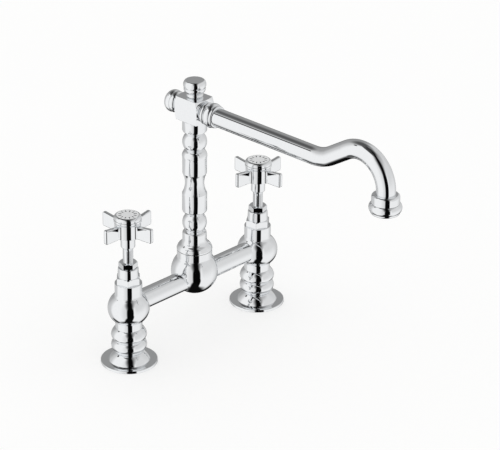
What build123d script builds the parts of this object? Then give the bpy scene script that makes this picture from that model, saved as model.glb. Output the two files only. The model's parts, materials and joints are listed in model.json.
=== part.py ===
from build123d import *
import math
import os

# Two-hole bridge mixer tap. Origin on the deck, midway between the two pillars.
# X runs along the bridge from hot to cold, the spout points to -Y, Z is up.
os.makedirs("parts", exist_ok=True)

# Fits between pieces
thread_clearance = 0.05
running_clearance = 0.06
assembly_clearance = 0.1
seam_gap = 0.4

# Height range in which the edge under a round is picked
edge_pick_range = 0.1

# Layout on the deck
hole_spacing = 200.0
sides = {"hot": -1, "cold": 1}
headwork_turn = {"hot": 3.4, "cold": 0.0}

# Waterways
inlet_thread_radius = 9.3
inlet_depth = 14.0
waterway_radius = 6.0

# Base flange with its bell
flange_radius = 30.8
flange_thickness = 3.0
flange_edge_chamfer = 0.5
bell_foot_radius = 22.4
bell_top_radius = 15.2
bell_height = 9.4
bell_bulge = 0.6
gasket_inset = 4.8
gasket_width = 6.0
gasket_thickness = 1.8

# Leg with two turned rings
leg_spigot_radius = 12.5
leg_foot_radius = 14.4
leg_ring_radius = 19.35
leg_groove_radius = 15.3
lower_ring_rise = 8.6
leg_groove_rise = 6.5
upper_ring_rise = 5.9
leg_neck_rise = 8.2
ring_bulge = 1.1
neck_radius = 14.5
joint_spigot_radius = 9.0
joint_spigot_length = 6.8

# Valve body, the bulb on each pillar
bulb_radius = 22.6
bulb_lower_half = 15.6
bulb_upper_half = 15.5
body_neck_rise = 7.9
collar_radius = 14.75
collar_height = 14.2
bulb_blend_radius = 4.0
seat_drop = 9.5
chamber_undercut = 0.6
chamber_rise = 14.0
body_recess_depth = 3.0

# Bridge tubes and their sockets
bridge_radius = 11.0
bridge_wall = 1.7
bridge_above_bulb = 2.0
socket_shoulder = 1.2
centre_socket_offset = 13.0
bridge_ring_offset = 0.9
bridge_ring_section = 0.7

# Quarter-turn headwork inside each valve body
barrel_wall = 1.5
barrel_bore_gap = 0.36
barrel_lift = 0.6
barrel_shoulder_rise = 4.0
seat_seal_height = 2.0
disc_thickness = 3.0
moving_disc_gap = 0.3
disc_port_radius = 2.3
disc_port_offset = 3.9
disc_lug_width = 2.4
disc_lug_inset = 0.3
disc_slot_depth = 1.2
tongue_thickness = 4.0
tongue_width = 12.6
tongue_height = 8.0
window_width = 7.0
window_height = 6.0

# Bonnet, the hexagon with its round tapered top
bonnet_thread_radius = 10.4
bonnet_flange_radius = 12.15
bonnet_gasket_thickness = 1.0
bonnet_hex_flats = 24.0
bonnet_hex_height = 8.0
bonnet_hex_turn = {"hot": 45.0, "cold": 36.0}
bonnet_top_height = 10.5
bonnet_foot_inset = 0.6
bonnet_taper = 0.5
bonnet_edge_chamfer = 1.0
bonnet_top_land = 1.3
hex_chamfer_angle = 30.0

# Gland nut and thrust washer
gland_hex_flats = 18.0
gland_hex_height = 5.7
gland_hex_turn = 15.0
gland_spigot_length = 6.6
washer_thickness = 0.8

# Spindle
spindle_radius = 7.14
stem_radius = 5.5
drive_above_hub = 0.5
drive_flats = 7.0
drive_length = 9.3
stem_ring_section = 0.74
stem_ring_rises = (11.0, 18.0)
stem_ring_side_gap = 0.35

# Cross handle
skirt_radius = 7.8
skirt_length = 12.3
skirt_chamfer = 1.0
stem_showing = 17.6
paddle_reach = 35.2
paddle_thickness = 5.2
hub_radius = 14.2
hub_blend_radius = 1.2
paddle_foot_reach = 15.4
paddle_foot_rise = 1.8
paddle_tip_rise = 0.7
paddle_root_height = 14.4
paddle_tip_height = 16.4
paddle_corner_radius = 2.5
paddle_edge_radius = 1.4
handle_collar_radius = 15.0
handle_collar_height = 2.2
handle_collar_under_radius = 11.5
handle_collar_under = 2.2
handle_collar_lean = 0.4
cap_radius = 14.7
cap_flat_radius = 11.6
cap_height = 4.7
cap_rim_height = 1.3
cap_plug_radius = 6.9
screw_head_radius = 4.4
screw_head_height = 3.5
screw_head_gap = 0.8
screw_radius = 2.5
screw_length = 11.0
screw_socket_flats = 4.0
screw_web = 2.0

# Centre body, the bulb in the middle of the bridge
centre_radius = 25.8
centre_above_bridge = 7.2
centre_collar_radius = 19.2
centre_top_rise = 25.9
centre_blend_radius = 3.0
mixing_bore_radius = 8.0

# Column spigot, which turns in the centre body
spigot_radius = 12.0
spigot_length = 19.5
spigot_ring_section = 0.9
spigot_ring_rises = (4.0, 9.0)
spigot_ring_side_gap = 0.4
retaining_groove_drop = 5.2
retaining_groove_width = 3.4
retaining_groove_depth = 1.5
grub_radius = 2.0
grub_tip_radius = 1.3
grub_tip_length = 1.6
grub_sink = 0.6
grub_tip_gap = 0.3
bearing_inset = 1.5
bearing_rim = 1.7
bearing_thickness = 1.4

# Column, from its foot up to the block
foot_bead_bulge = 0.25
foot_bead_inset = 0.2
foot_flare_bulge = 1.6
foot_flare_lift = 0.4
foot_flare_inset = 0.2
vase_radius = 13.25
drum_radius = 13.5
upper_drum_radius = 13.2
ball_radius = 13.3
groove_radius = 9.2
waist_radius = 10.35
foot_bead_height = 2.4
foot_flare_height = 4.4
foot_neck_height = 6.2
vase_height = 6.0
vase_shoulder_height = 2.1
vase_shoulder_inset = 1.0
groove_cone_height = 1.4
lower_ball_height = 19.2
drum_cone_height = 4.4
drum_edge_height = 1.0
drum_edge_inset = 0.35
lower_drum_height = 19.9
waist_height = 24.0
upper_drum_height = 17.5
upper_shoulder_height = 8.2
upper_shoulder_inset = 1.7
upper_shoulder_bulge = 0.25
upper_ball_height = 18.6
neck_collar_radius = 13.3
neck_collar_height = 11.5
column_joint_radius = 8.0
column_joint_length = 6.4
column_seal_outer_radius = 10.4
column_seal_thickness = 1.2

# Tee block, a short square bar along the spout's axis with turned ends, and its finials
block_width = 26.4
block_front = 15.8
block_rear = 17.0
block_end_radius = 14.4
block_chamfer_radius = 20.4
block_chamfer_length = 3.1
spout_above_block_foot = 12.6
block_above_spout = 14.0
spout_bore_radius = 6.5
finial_stem_radius = 4.0
finial_stem_length = 5.5
finial_bead_foot_radius = 7.6
finial_bead_bulge = 1.6
finial_bead_height = 4.4
finial_band_radius = 11.6
finial_band_height = 6.2
finial_band_bulge = 1.1
finial_band_crest = 0.3
finial_head_bulge = 0.65
finial_head_height = 7.8
finial_head_crest = 0.4
finial_flat_radius = 10.0
finial_edge_width = 1.0
finial_edge_height = 0.9
finial_edge_middle_width = 0.5
finial_edge_middle_height = 0.3
finial_line_depth = 0.4
finial_washer_radius = 6.8
finial_washer_thickness = 0.6

# Spout
spout_radius = 10.0
spout_wall = 1.3
spout_straight = 170.6
rise_radius = 46.7
rise_angle = 32.0
rise_straight = 24.3
drop_radius = 34.4
drop_straight = 9.3

# Spout collar at the block
collar_joint_radius = 9.4
collar_joint_web = 1.8
collar_neck_radius = 10.4
collar_ring_bulge = 1.5
collar_groove_wall = 1.0
collar_bead_bulge = 2.1
collar_bead_crest = 0.62
collar_step_wall = 1.6
collar_lip_bulge = 1.0
collar_end_wall = 0.8
collar_neck_length = 0.6
collar_ring_length = 5.4
collar_bead_length = 9.4
collar_lip_length = 3.5
collar_tube_depth = 16.5

# Outlet and aerator
outlet_band_radius = 14.5
outlet_band_height = 9.4
outlet_top_wall = 1.9
outlet_edge_share = 0.3
outlet_tube_depth = 6.7
outlet_shoulder = 2.0
outlet_spigot_length = 5.0
aerator_bead_bulge = 2.0
aerator_bead_height = 8.7
aerator_bead_crest = 0.55
aerator_bead_foot_step = 0.4
aerator_bead_top_step = 0.2
aerator_lip_wall = 2.5
aerator_lip_height = 2.5
aerator_lip_chamfer = 1.0
aerator_ledge_width = 1.2
aerator_ledge_height = 1.3
aerator_seal_thickness = 1.0
aerator_wall = 1.2
aerator_floor = 1.0
aerator_hole_radius = 0.85
aerator_hole_margin = 1.8
aerator_hole_rings = 3

# Radii that follow from the sizes above
gasket_outer_radius = flange_radius - gasket_inset
gasket_inner_radius = gasket_outer_radius - gasket_width
chamber_radius = bonnet_thread_radius + chamber_undercut
pillar_socket_offset = chamber_radius + socket_shoulder
bridge_bore_radius = bridge_radius - bridge_wall
bridge_ring_radius = bridge_radius + thread_clearance + bridge_ring_section
bridge_groove_radius = bridge_ring_radius + bridge_ring_section + thread_clearance
bridge_groove_width = 2 * bridge_ring_section + 2 * assembly_clearance
spindle_bore_radius = spindle_radius + running_clearance
stem_bore_radius = stem_radius + running_clearance
barrel_bore_radius = spindle_radius + barrel_bore_gap
barrel_radius = barrel_bore_radius + barrel_wall
disc_radius = barrel_bore_radius - assembly_clearance
moving_disc_radius = barrel_bore_radius - moving_disc_gap
disc_lug_reach = barrel_radius - disc_lug_inset
seat_seal_inner_radius = disc_port_offset + disc_port_radius + assembly_clearance
bonnet_foot_radius = bonnet_hex_flats / 2 - bonnet_foot_inset
bonnet_top_radius = bonnet_foot_radius - bonnet_taper
gland_spigot_radius = bonnet_top_radius - bonnet_edge_chamfer - bonnet_top_land
bearing_inner_radius = spigot_radius + bearing_inset
bearing_outer_radius = centre_collar_radius - bearing_rim
finial_bead_radius = finial_bead_foot_radius + finial_bead_bulge
finial_head_radius = finial_band_radius + finial_head_bulge
spout_bore = spout_radius - spout_wall
collar_joint_length = block_front - column_joint_radius - collar_joint_web
collar_groove_radius = spout_radius + collar_groove_wall
collar_step_radius = spout_radius + collar_step_wall
collar_end_radius = spout_radius + collar_end_wall
outlet_top_radius = spout_radius + outlet_top_wall
outlet_spigot_radius = outlet_band_radius - outlet_shoulder
aerator_lip_radius = outlet_spigot_radius + aerator_lip_wall
aerator_bead_radius = aerator_lip_radius + aerator_bead_bulge
aerator_mouth_radius = outlet_spigot_radius - aerator_ledge_width
aerator_seal_inner_radius = spout_bore + assembly_clearance

# Heights and places that follow from the sizes above
bell_top_z = flange_thickness + bell_height
lower_ring_z = bell_top_z + lower_ring_rise
leg_groove_z = lower_ring_z + leg_groove_rise
upper_ring_z = leg_groove_z + upper_ring_rise
leg_top_z = upper_ring_z + leg_neck_rise
bulb_z = leg_top_z + body_neck_rise + bulb_lower_half
body_top_z = bulb_z + bulb_upper_half + collar_height
seat_z = bulb_z - seat_drop
chamber_top_z = bulb_z + chamber_rise
body_recess_z = body_top_z - body_recess_depth
bridge_z = bulb_z + bridge_above_bulb

fixed_disc_z = seat_z + seat_seal_height
moving_disc_z = fixed_disc_z + disc_thickness
disc_top_z = moving_disc_z + disc_thickness
tongue_z = disc_top_z - disc_slot_depth + thread_clearance
spindle_z = tongue_z + tongue_height
hex_z = body_top_z + assembly_clearance
hex_top_z = hex_z + bonnet_hex_height
bonnet_top_z = hex_top_z + bonnet_top_height
gland_z = bonnet_top_z + seam_gap
gland_top_z = gland_z + gland_hex_height
washer_z = gland_z - gland_spigot_length - washer_thickness

skirt_z = gland_top_z + stem_showing
hub_z = skirt_z + skirt_length
paddle_foot_z = hub_z + paddle_foot_rise
paddle_tip_z = paddle_foot_z + paddle_tip_rise
paddle_top_z = paddle_foot_z + paddle_root_height
collar_z = paddle_top_z + handle_collar_under
handle_top_z = collar_z + handle_collar_height
drive_z = hub_z + drive_above_hub
web_z = drive_z + drive_length + assembly_clearance
web_top_z = web_z + screw_web
screw_head_z = web_top_z + screw_head_height
cap_z = handle_top_z + assembly_clearance
cap_plug_z = screw_head_z + screw_head_gap
cap_top_z = cap_z + cap_height

centre_z = bridge_z + centre_above_bridge
centre_top_z = centre_z + centre_top_rise
column_z = centre_top_z + seam_gap
spigot_z = column_z - spigot_length
retaining_groove_z = column_z - retaining_groove_drop
foot_bead_z = column_z + foot_bead_height
foot_flare_z = foot_bead_z + foot_flare_height
foot_neck_z = foot_flare_z + foot_neck_height
vase_top_z = foot_neck_z + vase_height
vase_shoulder_z = vase_top_z + vase_shoulder_height
lower_ball_z = vase_shoulder_z + groove_cone_height
lower_ball_top_z = lower_ball_z + lower_ball_height
lower_drum_z = lower_ball_top_z + drum_cone_height + drum_edge_height
lower_drum_top_z = lower_drum_z + lower_drum_height
waist_top_z = lower_drum_top_z + waist_height
upper_drum_top_z = waist_top_z + upper_drum_height
upper_shoulder_z = upper_drum_top_z + upper_shoulder_height
upper_ball_z = upper_shoulder_z + groove_cone_height
upper_ball_top_z = upper_ball_z + upper_ball_height
neck_collar_z = upper_ball_top_z + drum_cone_height
column_top_z = neck_collar_z + neck_collar_height

block_z = column_top_z
spout_z = block_z + spout_above_block_foot
block_top_z = spout_z + block_above_spout
collar_neck_end = block_front + collar_neck_length
collar_ring_end = collar_neck_end + collar_ring_length
collar_bead_end = collar_ring_end + collar_bead_length
collar_lip_end = collar_bead_end + collar_lip_length
spout_start = collar_lip_end - collar_tube_depth
rise = math.radians(rise_angle)
rise_run = rise_radius * math.sin(rise) + rise_straight * math.cos(rise)
rise_height = rise_radius * (1 - math.cos(rise)) + rise_straight * math.sin(rise)
spout_reach = spout_straight + rise_run + drop_radius * math.sin(rise) + drop_radius
tube_end_z = spout_z + rise_height - drop_radius * math.cos(rise) - drop_straight
outlet_top_z = tube_end_z + outlet_tube_depth
outlet_z = outlet_top_z - outlet_band_height
outlet_spigot_z = outlet_z - outlet_spigot_length
aerator_top_z = outlet_z - assembly_clearance
aerator_bead_z = aerator_top_z - aerator_bead_height
aerator_z = aerator_bead_z - aerator_lip_height
aerator_insert_z = aerator_z + aerator_ledge_height
aerator_seal_z = outlet_spigot_z - aerator_seal_thickness

# The pieces of the two pillars
for side_name, side in sides.items():
    pillar_x = side * hole_spacing / 2
    pillar_plane = Plane(origin=(pillar_x, 0, 0), x_dir=(1, 0, 0), z_dir=(0, -1, 0))
    pillar_axis = Axis((pillar_x, 0, 0), (0, 0, 1))
    deck_plane = Plane(origin=(pillar_x, 0, 0))
    turn = math.radians(headwork_turn[side_name])
    headwork_plane = Plane(origin=(pillar_x, 0, 0), x_dir=(math.cos(turn), math.sin(turn), 0))
    port_plane = Plane(origin=(pillar_x, 0, bridge_z), x_dir=(0, 1, 0), z_dir=(-side, 0, 0))

    # Base flange, a flat disc with a bell that covers the leg's foot
    with BuildPart() as base_flange:
        with BuildSketch(pillar_plane):
            with BuildLine():
                Polyline(
                    (bell_top_radius, bell_top_z),
                    (leg_spigot_radius + assembly_clearance, bell_top_z),
                    (leg_spigot_radius + assembly_clearance, 0),
                    (flange_radius, 0),
                    (flange_radius, flange_thickness - flange_edge_chamfer),
                    (flange_radius - flange_edge_chamfer, flange_thickness),
                    (bell_foot_radius, flange_thickness),
                )
                ThreePointArc(
                    (bell_foot_radius, flange_thickness),
                    (
                        (bell_foot_radius + bell_top_radius) / 2 + bell_bulge,
                        (flange_thickness + bell_top_z) / 2 + bell_bulge,
                    ),
                    (bell_top_radius, bell_top_z),
                )
            make_face()
        revolve(axis=pillar_axis)
        with BuildSketch(deck_plane):
            Circle(gasket_outer_radius + assembly_clearance)
            Circle(gasket_inner_radius - assembly_clearance, mode=Mode.SUBTRACT)
        extrude(amount=gasket_thickness, mode=Mode.SUBTRACT)
    base_flange.part.label = f"{side_name}_base_flange"
    export_step(base_flange.part, f"parts/{side_name}_base_flange.step")

    # Rubber ring in the groove under the flange, flush with the deck
    with BuildPart() as base_gasket:
        with BuildSketch(deck_plane):
            Circle(gasket_outer_radius)
            Circle(gasket_inner_radius, mode=Mode.SUBTRACT)
        extrude(amount=gasket_thickness)
    base_gasket.part.label = f"{side_name}_base_gasket"
    export_step(base_gasket.part, f"parts/{side_name}_base_gasket.step")

    # Leg, turned with two rings, with the inlet thread in its foot
    with BuildPart() as leg:
        with BuildSketch(pillar_plane):
            with BuildLine():
                Polyline(
                    (inlet_thread_radius, 0),
                    (leg_spigot_radius, 0),
                    (leg_spigot_radius, bell_top_z),
                    (leg_foot_radius, bell_top_z),
                )
                ThreePointArc(
                    (leg_foot_radius, bell_top_z),
                    (
                        (leg_foot_radius + leg_ring_radius) / 2 + ring_bulge,
                        (bell_top_z + lower_ring_z) / 2,
                    ),
                    (leg_ring_radius, lower_ring_z),
                )
                ThreePointArc(
                    (leg_ring_radius, lower_ring_z),
                    (
                        (leg_ring_radius + leg_groove_radius) / 2 + ring_bulge,
                        (lower_ring_z + leg_groove_z) / 2,
                    ),
                    (leg_groove_radius, leg_groove_z),
                )
                ThreePointArc(
                    (leg_groove_radius, leg_groove_z),
                    (
                        (leg_ring_radius + leg_groove_radius) / 2 + ring_bulge,
                        (leg_groove_z + upper_ring_z) / 2,
                    ),
                    (leg_ring_radius, upper_ring_z),
                )
                ThreePointArc(
                    (leg_ring_radius, upper_ring_z),
                    (
                        (leg_ring_radius + neck_radius) / 2 + ring_bulge,
                        (upper_ring_z + leg_top_z) / 2,
                    ),
                    (neck_radius, leg_top_z),
                )
                Polyline(
                    (neck_radius, leg_top_z),
                    (joint_spigot_radius, leg_top_z),
                    (joint_spigot_radius, leg_top_z + joint_spigot_length),
                    (waterway_radius, leg_top_z + joint_spigot_length),
                    (waterway_radius, inlet_depth + inlet_thread_radius - waterway_radius),
                    (inlet_thread_radius, inlet_depth),
                    (inlet_thread_radius, 0),
                )
            make_face()
        revolve(axis=pillar_axis)
    leg.part.label = f"{side_name}_leg"
    export_step(leg.part, f"parts/{side_name}_leg.step")

    # Valve body, a bulb with a collar, a seat and a side port for the bridge
    with BuildPart() as valve_body:
        joint_bore_radius = joint_spigot_radius + thread_clearance
        joint_top_z = leg_top_z + joint_spigot_length + assembly_clearance
        with BuildSketch(pillar_plane):
            with BuildLine():
                Polyline(
                    (joint_bore_radius, leg_top_z),
                    (neck_radius, leg_top_z),
                    (neck_radius, bulb_z - bulb_lower_half),
                )
                ThreePointArc(
                    (neck_radius, bulb_z - bulb_lower_half),
                    (bulb_radius, bulb_z),
                    (collar_radius, bulb_z + bulb_upper_half),
                )
                Polyline(
                    (collar_radius, bulb_z + bulb_upper_half),
                    (collar_radius, body_top_z),
                    (bonnet_flange_radius + assembly_clearance, body_top_z),
                    (bonnet_flange_radius + assembly_clearance, body_recess_z),
                    (bonnet_thread_radius + thread_clearance, body_recess_z),
                    (bonnet_thread_radius + thread_clearance, chamber_top_z),
                    (chamber_radius, chamber_top_z - chamber_radius + bonnet_thread_radius),
                    (chamber_radius, seat_z),
                    (waterway_radius, seat_z),
                    (waterway_radius, joint_top_z),
                    (joint_bore_radius, joint_top_z),
                    (joint_bore_radius, leg_top_z),
                )
            make_face()
        revolve(axis=pillar_axis)
        blend_z = bulb_z + bulb_upper_half
        fillet(
            valve_body.edges().filter_by_position(
                Axis.Z, blend_z - edge_pick_range, blend_z + edge_pick_range
            ),
            radius=bulb_blend_radius,
        )
        with BuildSketch(port_plane):
            Circle(bridge_bore_radius)
        extrude(amount=bulb_radius, mode=Mode.SUBTRACT)
        with BuildSketch(port_plane.offset(pillar_socket_offset)):
            Circle(bridge_radius + thread_clearance)
        extrude(amount=bulb_radius, mode=Mode.SUBTRACT)
        with BuildSketch(port_plane.offset(pillar_socket_offset + bridge_ring_offset)):
            Circle(bridge_groove_radius)
        extrude(amount=bridge_groove_width, mode=Mode.SUBTRACT)
    valve_body.part.label = f"{side_name}_valve_body"
    export_step(valve_body.part, f"parts/{side_name}_valve_body.step")

    # Bonnet, with its barrel down into the valve body
    with BuildPart() as bonnet:
        with BuildSketch(pillar_plane):
            with BuildLine():
                Polyline(
                    (barrel_bore_radius, seat_z + barrel_lift),
                    (barrel_radius, seat_z + barrel_lift),
                    (barrel_radius, chamber_top_z),
                    (bonnet_thread_radius, chamber_top_z),
                    (bonnet_thread_radius, body_recess_z + bonnet_gasket_thickness),
                    (bonnet_flange_radius, body_recess_z + bonnet_gasket_thickness),
                    (bonnet_flange_radius, hex_z),
                    (bonnet_foot_radius, hex_z),
                    (bonnet_foot_radius, hex_top_z),
                    (bonnet_top_radius, bonnet_top_z - bonnet_edge_chamfer),
                    (bonnet_top_radius - bonnet_edge_chamfer, bonnet_top_z),
                    (gland_spigot_radius + thread_clearance, bonnet_top_z),
                    (gland_spigot_radius + thread_clearance, washer_z),
                    (spindle_bore_radius, washer_z),
                    (spindle_bore_radius, spindle_z + barrel_shoulder_rise),
                    (barrel_bore_radius, spindle_z + barrel_shoulder_rise),
                    (barrel_bore_radius, seat_z + barrel_lift),
                )
            make_face()
        revolve(axis=pillar_axis)
        hex_plane = deck_plane.offset(hex_z)
        hex_corner_radius = bonnet_hex_flats / 2 / math.cos(math.radians(30))
        hex_corner_step = hex_corner_radius - bonnet_hex_flats / 2
        chamfer_drop = hex_corner_step * math.tan(math.radians(hex_chamfer_angle))
        with BuildSketch(hex_plane):
            RegularPolygon(
                bonnet_hex_flats / 2,
                6,
                major_radius=False,
                rotation=bonnet_hex_turn[side_name],
            )
            Circle(bonnet_foot_radius - assembly_clearance, mode=Mode.SUBTRACT)
        extrude(amount=bonnet_hex_height)
        with BuildSketch(pillar_plane):
            with BuildLine():
                Polyline(
                    (bonnet_hex_flats / 2, hex_top_z),
                    (hex_corner_radius + assembly_clearance, hex_top_z - chamfer_drop),
                    (hex_corner_radius + assembly_clearance, hex_top_z),
                    (bonnet_hex_flats / 2, hex_top_z),
                )
            make_face()
        revolve(axis=pillar_axis, mode=Mode.SUBTRACT)
        with BuildSketch(headwork_plane.offset(disc_top_z + assembly_clearance)):
            Rectangle(window_width, 2 * bonnet_thread_radius)
        extrude(amount=window_height, mode=Mode.SUBTRACT)
        with BuildSketch(headwork_plane.offset(seat_z)):
            Rectangle(2 * bonnet_thread_radius, disc_lug_width + 2 * assembly_clearance)
        extrude(amount=seat_seal_height + disc_thickness, mode=Mode.SUBTRACT)
    bonnet.part.label = f"{side_name}_bonnet"
    export_step(bonnet.part, f"parts/{side_name}_bonnet.step")

    # Fibre gasket under the bonnet's flange
    with BuildPart() as bonnet_gasket:
        with BuildSketch(deck_plane.offset(body_recess_z)):
            Circle(bonnet_flange_radius)
            Circle(bonnet_thread_radius + assembly_clearance, mode=Mode.SUBTRACT)
        extrude(amount=bonnet_gasket_thickness)
    bonnet_gasket.part.label = f"{side_name}_bonnet_gasket"
    export_step(bonnet_gasket.part, f"parts/{side_name}_bonnet_gasket.step")

    # Rubber seal between valve seat and fixed disc
    with BuildPart() as seat_seal:
        with BuildSketch(deck_plane.offset(seat_z)):
            Circle(disc_radius)
            Circle(seat_seal_inner_radius, mode=Mode.SUBTRACT)
        extrude(amount=seat_seal_height)
    seat_seal.part.label = f"{side_name}_seat_seal"
    export_step(seat_seal.part, f"parts/{side_name}_seat_seal.step")

    # Fixed ceramic disc, keyed to the barrel by two lugs
    with BuildPart() as fixed_disc:
        with BuildSketch(headwork_plane.offset(fixed_disc_z)):
            Circle(disc_radius)
            Rectangle(2 * disc_lug_reach, disc_lug_width)
            with Locations((0, disc_port_offset), (0, -disc_port_offset)):
                Circle(disc_port_radius, mode=Mode.SUBTRACT)
        extrude(amount=disc_thickness)
    fixed_disc.part.label = f"{side_name}_fixed_disc"
    export_step(fixed_disc.part, f"parts/{side_name}_fixed_disc.step")

    # Moving ceramic disc, shown shut, a quarter turn from the fixed disc's ports
    with BuildPart() as moving_disc:
        moving_port_offset = disc_port_offset + assembly_clearance
        with BuildSketch(headwork_plane.offset(moving_disc_z)):
            Circle(moving_disc_radius)
            with Locations((moving_port_offset, 0), (-moving_port_offset, 0)):
                Circle(disc_port_radius, mode=Mode.SUBTRACT)
        extrude(amount=disc_thickness)
        with BuildSketch(headwork_plane.offset(disc_top_z - disc_slot_depth)):
            Rectangle(tongue_thickness + 2 * assembly_clearance, 2 * disc_radius)
        extrude(amount=disc_slot_depth, mode=Mode.SUBTRACT)
    moving_disc.part.label = f"{side_name}_moving_disc"
    export_step(moving_disc.part, f"parts/{side_name}_moving_disc.step")

    # Spindle, from the tongue in the moving disc up to the square under the handle
    with BuildPart() as spindle:
        ring_groove_radius = spindle_radius - 2 * stem_ring_section - thread_clearance
        ring_groove_half = stem_ring_section + stem_ring_side_gap
        with BuildSketch(deck_plane.offset(spindle_z)):
            Circle(spindle_radius)
        extrude(amount=washer_z - spindle_z)
        with BuildSketch(deck_plane.offset(washer_z)):
            Circle(stem_radius)
        extrude(amount=drive_z - washer_z)
        with BuildSketch(headwork_plane.offset(drive_z)):
            Rectangle(drive_flats, drive_flats)
        extrude(amount=drive_length)
        with BuildSketch(headwork_plane.offset(tongue_z)):
            Rectangle(tongue_thickness, tongue_width)
        extrude(amount=tongue_height)
        for ring_rise in stem_ring_rises:
            with BuildSketch(deck_plane.offset(spindle_z + ring_rise - ring_groove_half)):
                Circle(spindle_radius + assembly_clearance)
                Circle(ring_groove_radius, mode=Mode.SUBTRACT)
            extrude(amount=2 * ring_groove_half, mode=Mode.SUBTRACT)
        with BuildSketch(deck_plane.offset(web_top_z - screw_length - assembly_clearance)):
            Circle(screw_radius + thread_clearance)
        extrude(amount=screw_length, mode=Mode.SUBTRACT)
    spindle.part.label = f"{side_name}_spindle"
    export_step(spindle.part, f"parts/{side_name}_spindle.step")

    # Two O-rings that seal the spindle in the bonnet
    with BuildPart() as stem_o_rings:
        stem_ring_radius = spindle_radius - stem_ring_section
        for ring_rise in stem_ring_rises:
            with BuildSketch(pillar_plane):
                with Locations((stem_ring_radius, spindle_z + ring_rise)):
                    Circle(stem_ring_section)
            revolve(axis=pillar_axis)
    stem_o_rings.part.label = f"{side_name}_stem_o_rings"
    export_step(stem_o_rings.part, f"parts/{side_name}_stem_o_rings.step")

    # Thrust washer over the spindle's shoulder
    with BuildPart() as thrust_washer:
        with BuildSketch(deck_plane.offset(washer_z)):
            Circle(gland_spigot_radius)
            Circle(stem_bore_radius, mode=Mode.SUBTRACT)
        extrude(amount=washer_thickness)
    thrust_washer.part.label = f"{side_name}_thrust_washer"
    export_step(thrust_washer.part, f"parts/{side_name}_thrust_washer.step")

    # Gland nut on the bonnet
    with BuildPart() as gland_nut:
        gland_corner_radius = gland_hex_flats / 2 / math.cos(math.radians(30))
        gland_corner_step = gland_corner_radius - gland_hex_flats / 2
        gland_drop = gland_corner_step * math.tan(math.radians(hex_chamfer_angle))
        with BuildSketch(deck_plane.offset(gland_z)):
            RegularPolygon(gland_hex_flats / 2, 6, major_radius=False, rotation=gland_hex_turn)
        extrude(amount=gland_hex_height)
        with BuildSketch(pillar_plane):
            with BuildLine():
                Polyline(
                    (gland_hex_flats / 2, gland_top_z),
                    (gland_corner_radius + assembly_clearance, gland_top_z - gland_drop),
                    (gland_corner_radius + assembly_clearance, gland_top_z),
                    (gland_hex_flats / 2, gland_top_z),
                )
            make_face()
        revolve(axis=pillar_axis, mode=Mode.SUBTRACT)
        with BuildSketch(deck_plane.offset(gland_z - gland_spigot_length)):
            Circle(gland_spigot_radius)
        extrude(amount=gland_spigot_length)
        with BuildSketch(deck_plane.offset(gland_z - gland_spigot_length)):
            Circle(stem_bore_radius)
        extrude(amount=gland_spigot_length + gland_hex_height, mode=Mode.SUBTRACT)
    gland_nut.part.label = f"{side_name}_gland_nut"
    export_step(gland_nut.part, f"parts/{side_name}_gland_nut.step")

    # Cross handle: four flared paddles on a round hub, under a round collar
    with BuildPart() as cross_handle:
        for bar_turn in (0, 90):
            bar_angle = turn + math.radians(bar_turn)
            bar_plane = Plane(
                origin=(pillar_x, 0, 0),
                x_dir=(math.cos(bar_angle), math.sin(bar_angle), 0),
                z_dir=(math.sin(bar_angle), -math.cos(bar_angle), 0),
            )
            with BuildPart(mode=Mode.PRIVATE) as bar:
                with BuildSketch(bar_plane) as bar_side:
                    Polygon(
                        (-paddle_reach, paddle_tip_z),
                        (-paddle_foot_reach, paddle_foot_z),
                        (paddle_foot_reach, paddle_foot_z),
                        (paddle_reach, paddle_tip_z),
                        (paddle_reach, paddle_tip_z + paddle_tip_height),
                        (handle_collar_radius, paddle_top_z),
                        (-handle_collar_radius, paddle_top_z),
                        (-paddle_reach, paddle_tip_z + paddle_tip_height),
                        align=None,
                    )
                    fillet(bar_side.vertices().sort_by(Axis.X)[:2], radius=paddle_corner_radius)
                    fillet(bar_side.vertices().sort_by(Axis.X)[-2:], radius=paddle_corner_radius)
                extrude(amount=paddle_thickness / 2, both=True)
                fillet(
                    bar.edges().filter_by(Axis(bar_plane.origin, bar_plane.z_dir), reverse=True),
                    radius=paddle_edge_radius,
                )
            add(bar.part)
        with BuildPart(mode=Mode.PRIVATE) as hub:
            with BuildSketch(headwork_plane.offset(hub_z)) as hub_outline:
                Circle(hub_radius)
                Rectangle(2 * paddle_reach, paddle_thickness)
                Rectangle(paddle_thickness, 2 * paddle_reach)
                fillet(
                    hub_outline.vertices().sort_by_distance((0, 0))[:8],
                    radius=hub_blend_radius,
                )
            extrude(amount=collar_z - hub_z)
            with BuildSketch(pillar_plane):
                with BuildLine():
                    Polyline(
                        (0, hub_z),
                        (skirt_radius, hub_z),
                        (paddle_foot_reach, paddle_foot_z),
                        (paddle_foot_reach, paddle_top_z),
                        (handle_collar_under_radius, collar_z),
                        (0, collar_z),
                        (0, hub_z),
                    )
                make_face()
            revolve(axis=pillar_axis, mode=Mode.INTERSECT)
        add(hub.part)
        with BuildSketch(pillar_plane):
            with BuildLine():
                Line((0, paddle_top_z), (skirt_radius, paddle_top_z))
                TangentArc(
                    (skirt_radius, paddle_top_z),
                    (handle_collar_radius, collar_z),
                    tangent=(handle_collar_lean, 1),
                )
                Polyline(
                    (handle_collar_radius, collar_z),
                    (handle_collar_radius, handle_top_z),
                    (0, handle_top_z),
                    (0, paddle_top_z),
                )
            make_face()
        revolve(axis=pillar_axis)
        with BuildSketch(pillar_plane):
            with BuildLine():
                Polyline(
                    (0, skirt_z),
                    (skirt_radius - skirt_chamfer, skirt_z),
                    (skirt_radius, skirt_z + skirt_chamfer),
                    (skirt_radius, hub_z + assembly_clearance),
                    (0, hub_z + assembly_clearance),
                    (0, skirt_z),
                )
            make_face()
        revolve(axis=pillar_axis)
        with BuildSketch(deck_plane.offset(skirt_z)):
            Circle(stem_radius + thread_clearance)
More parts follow.
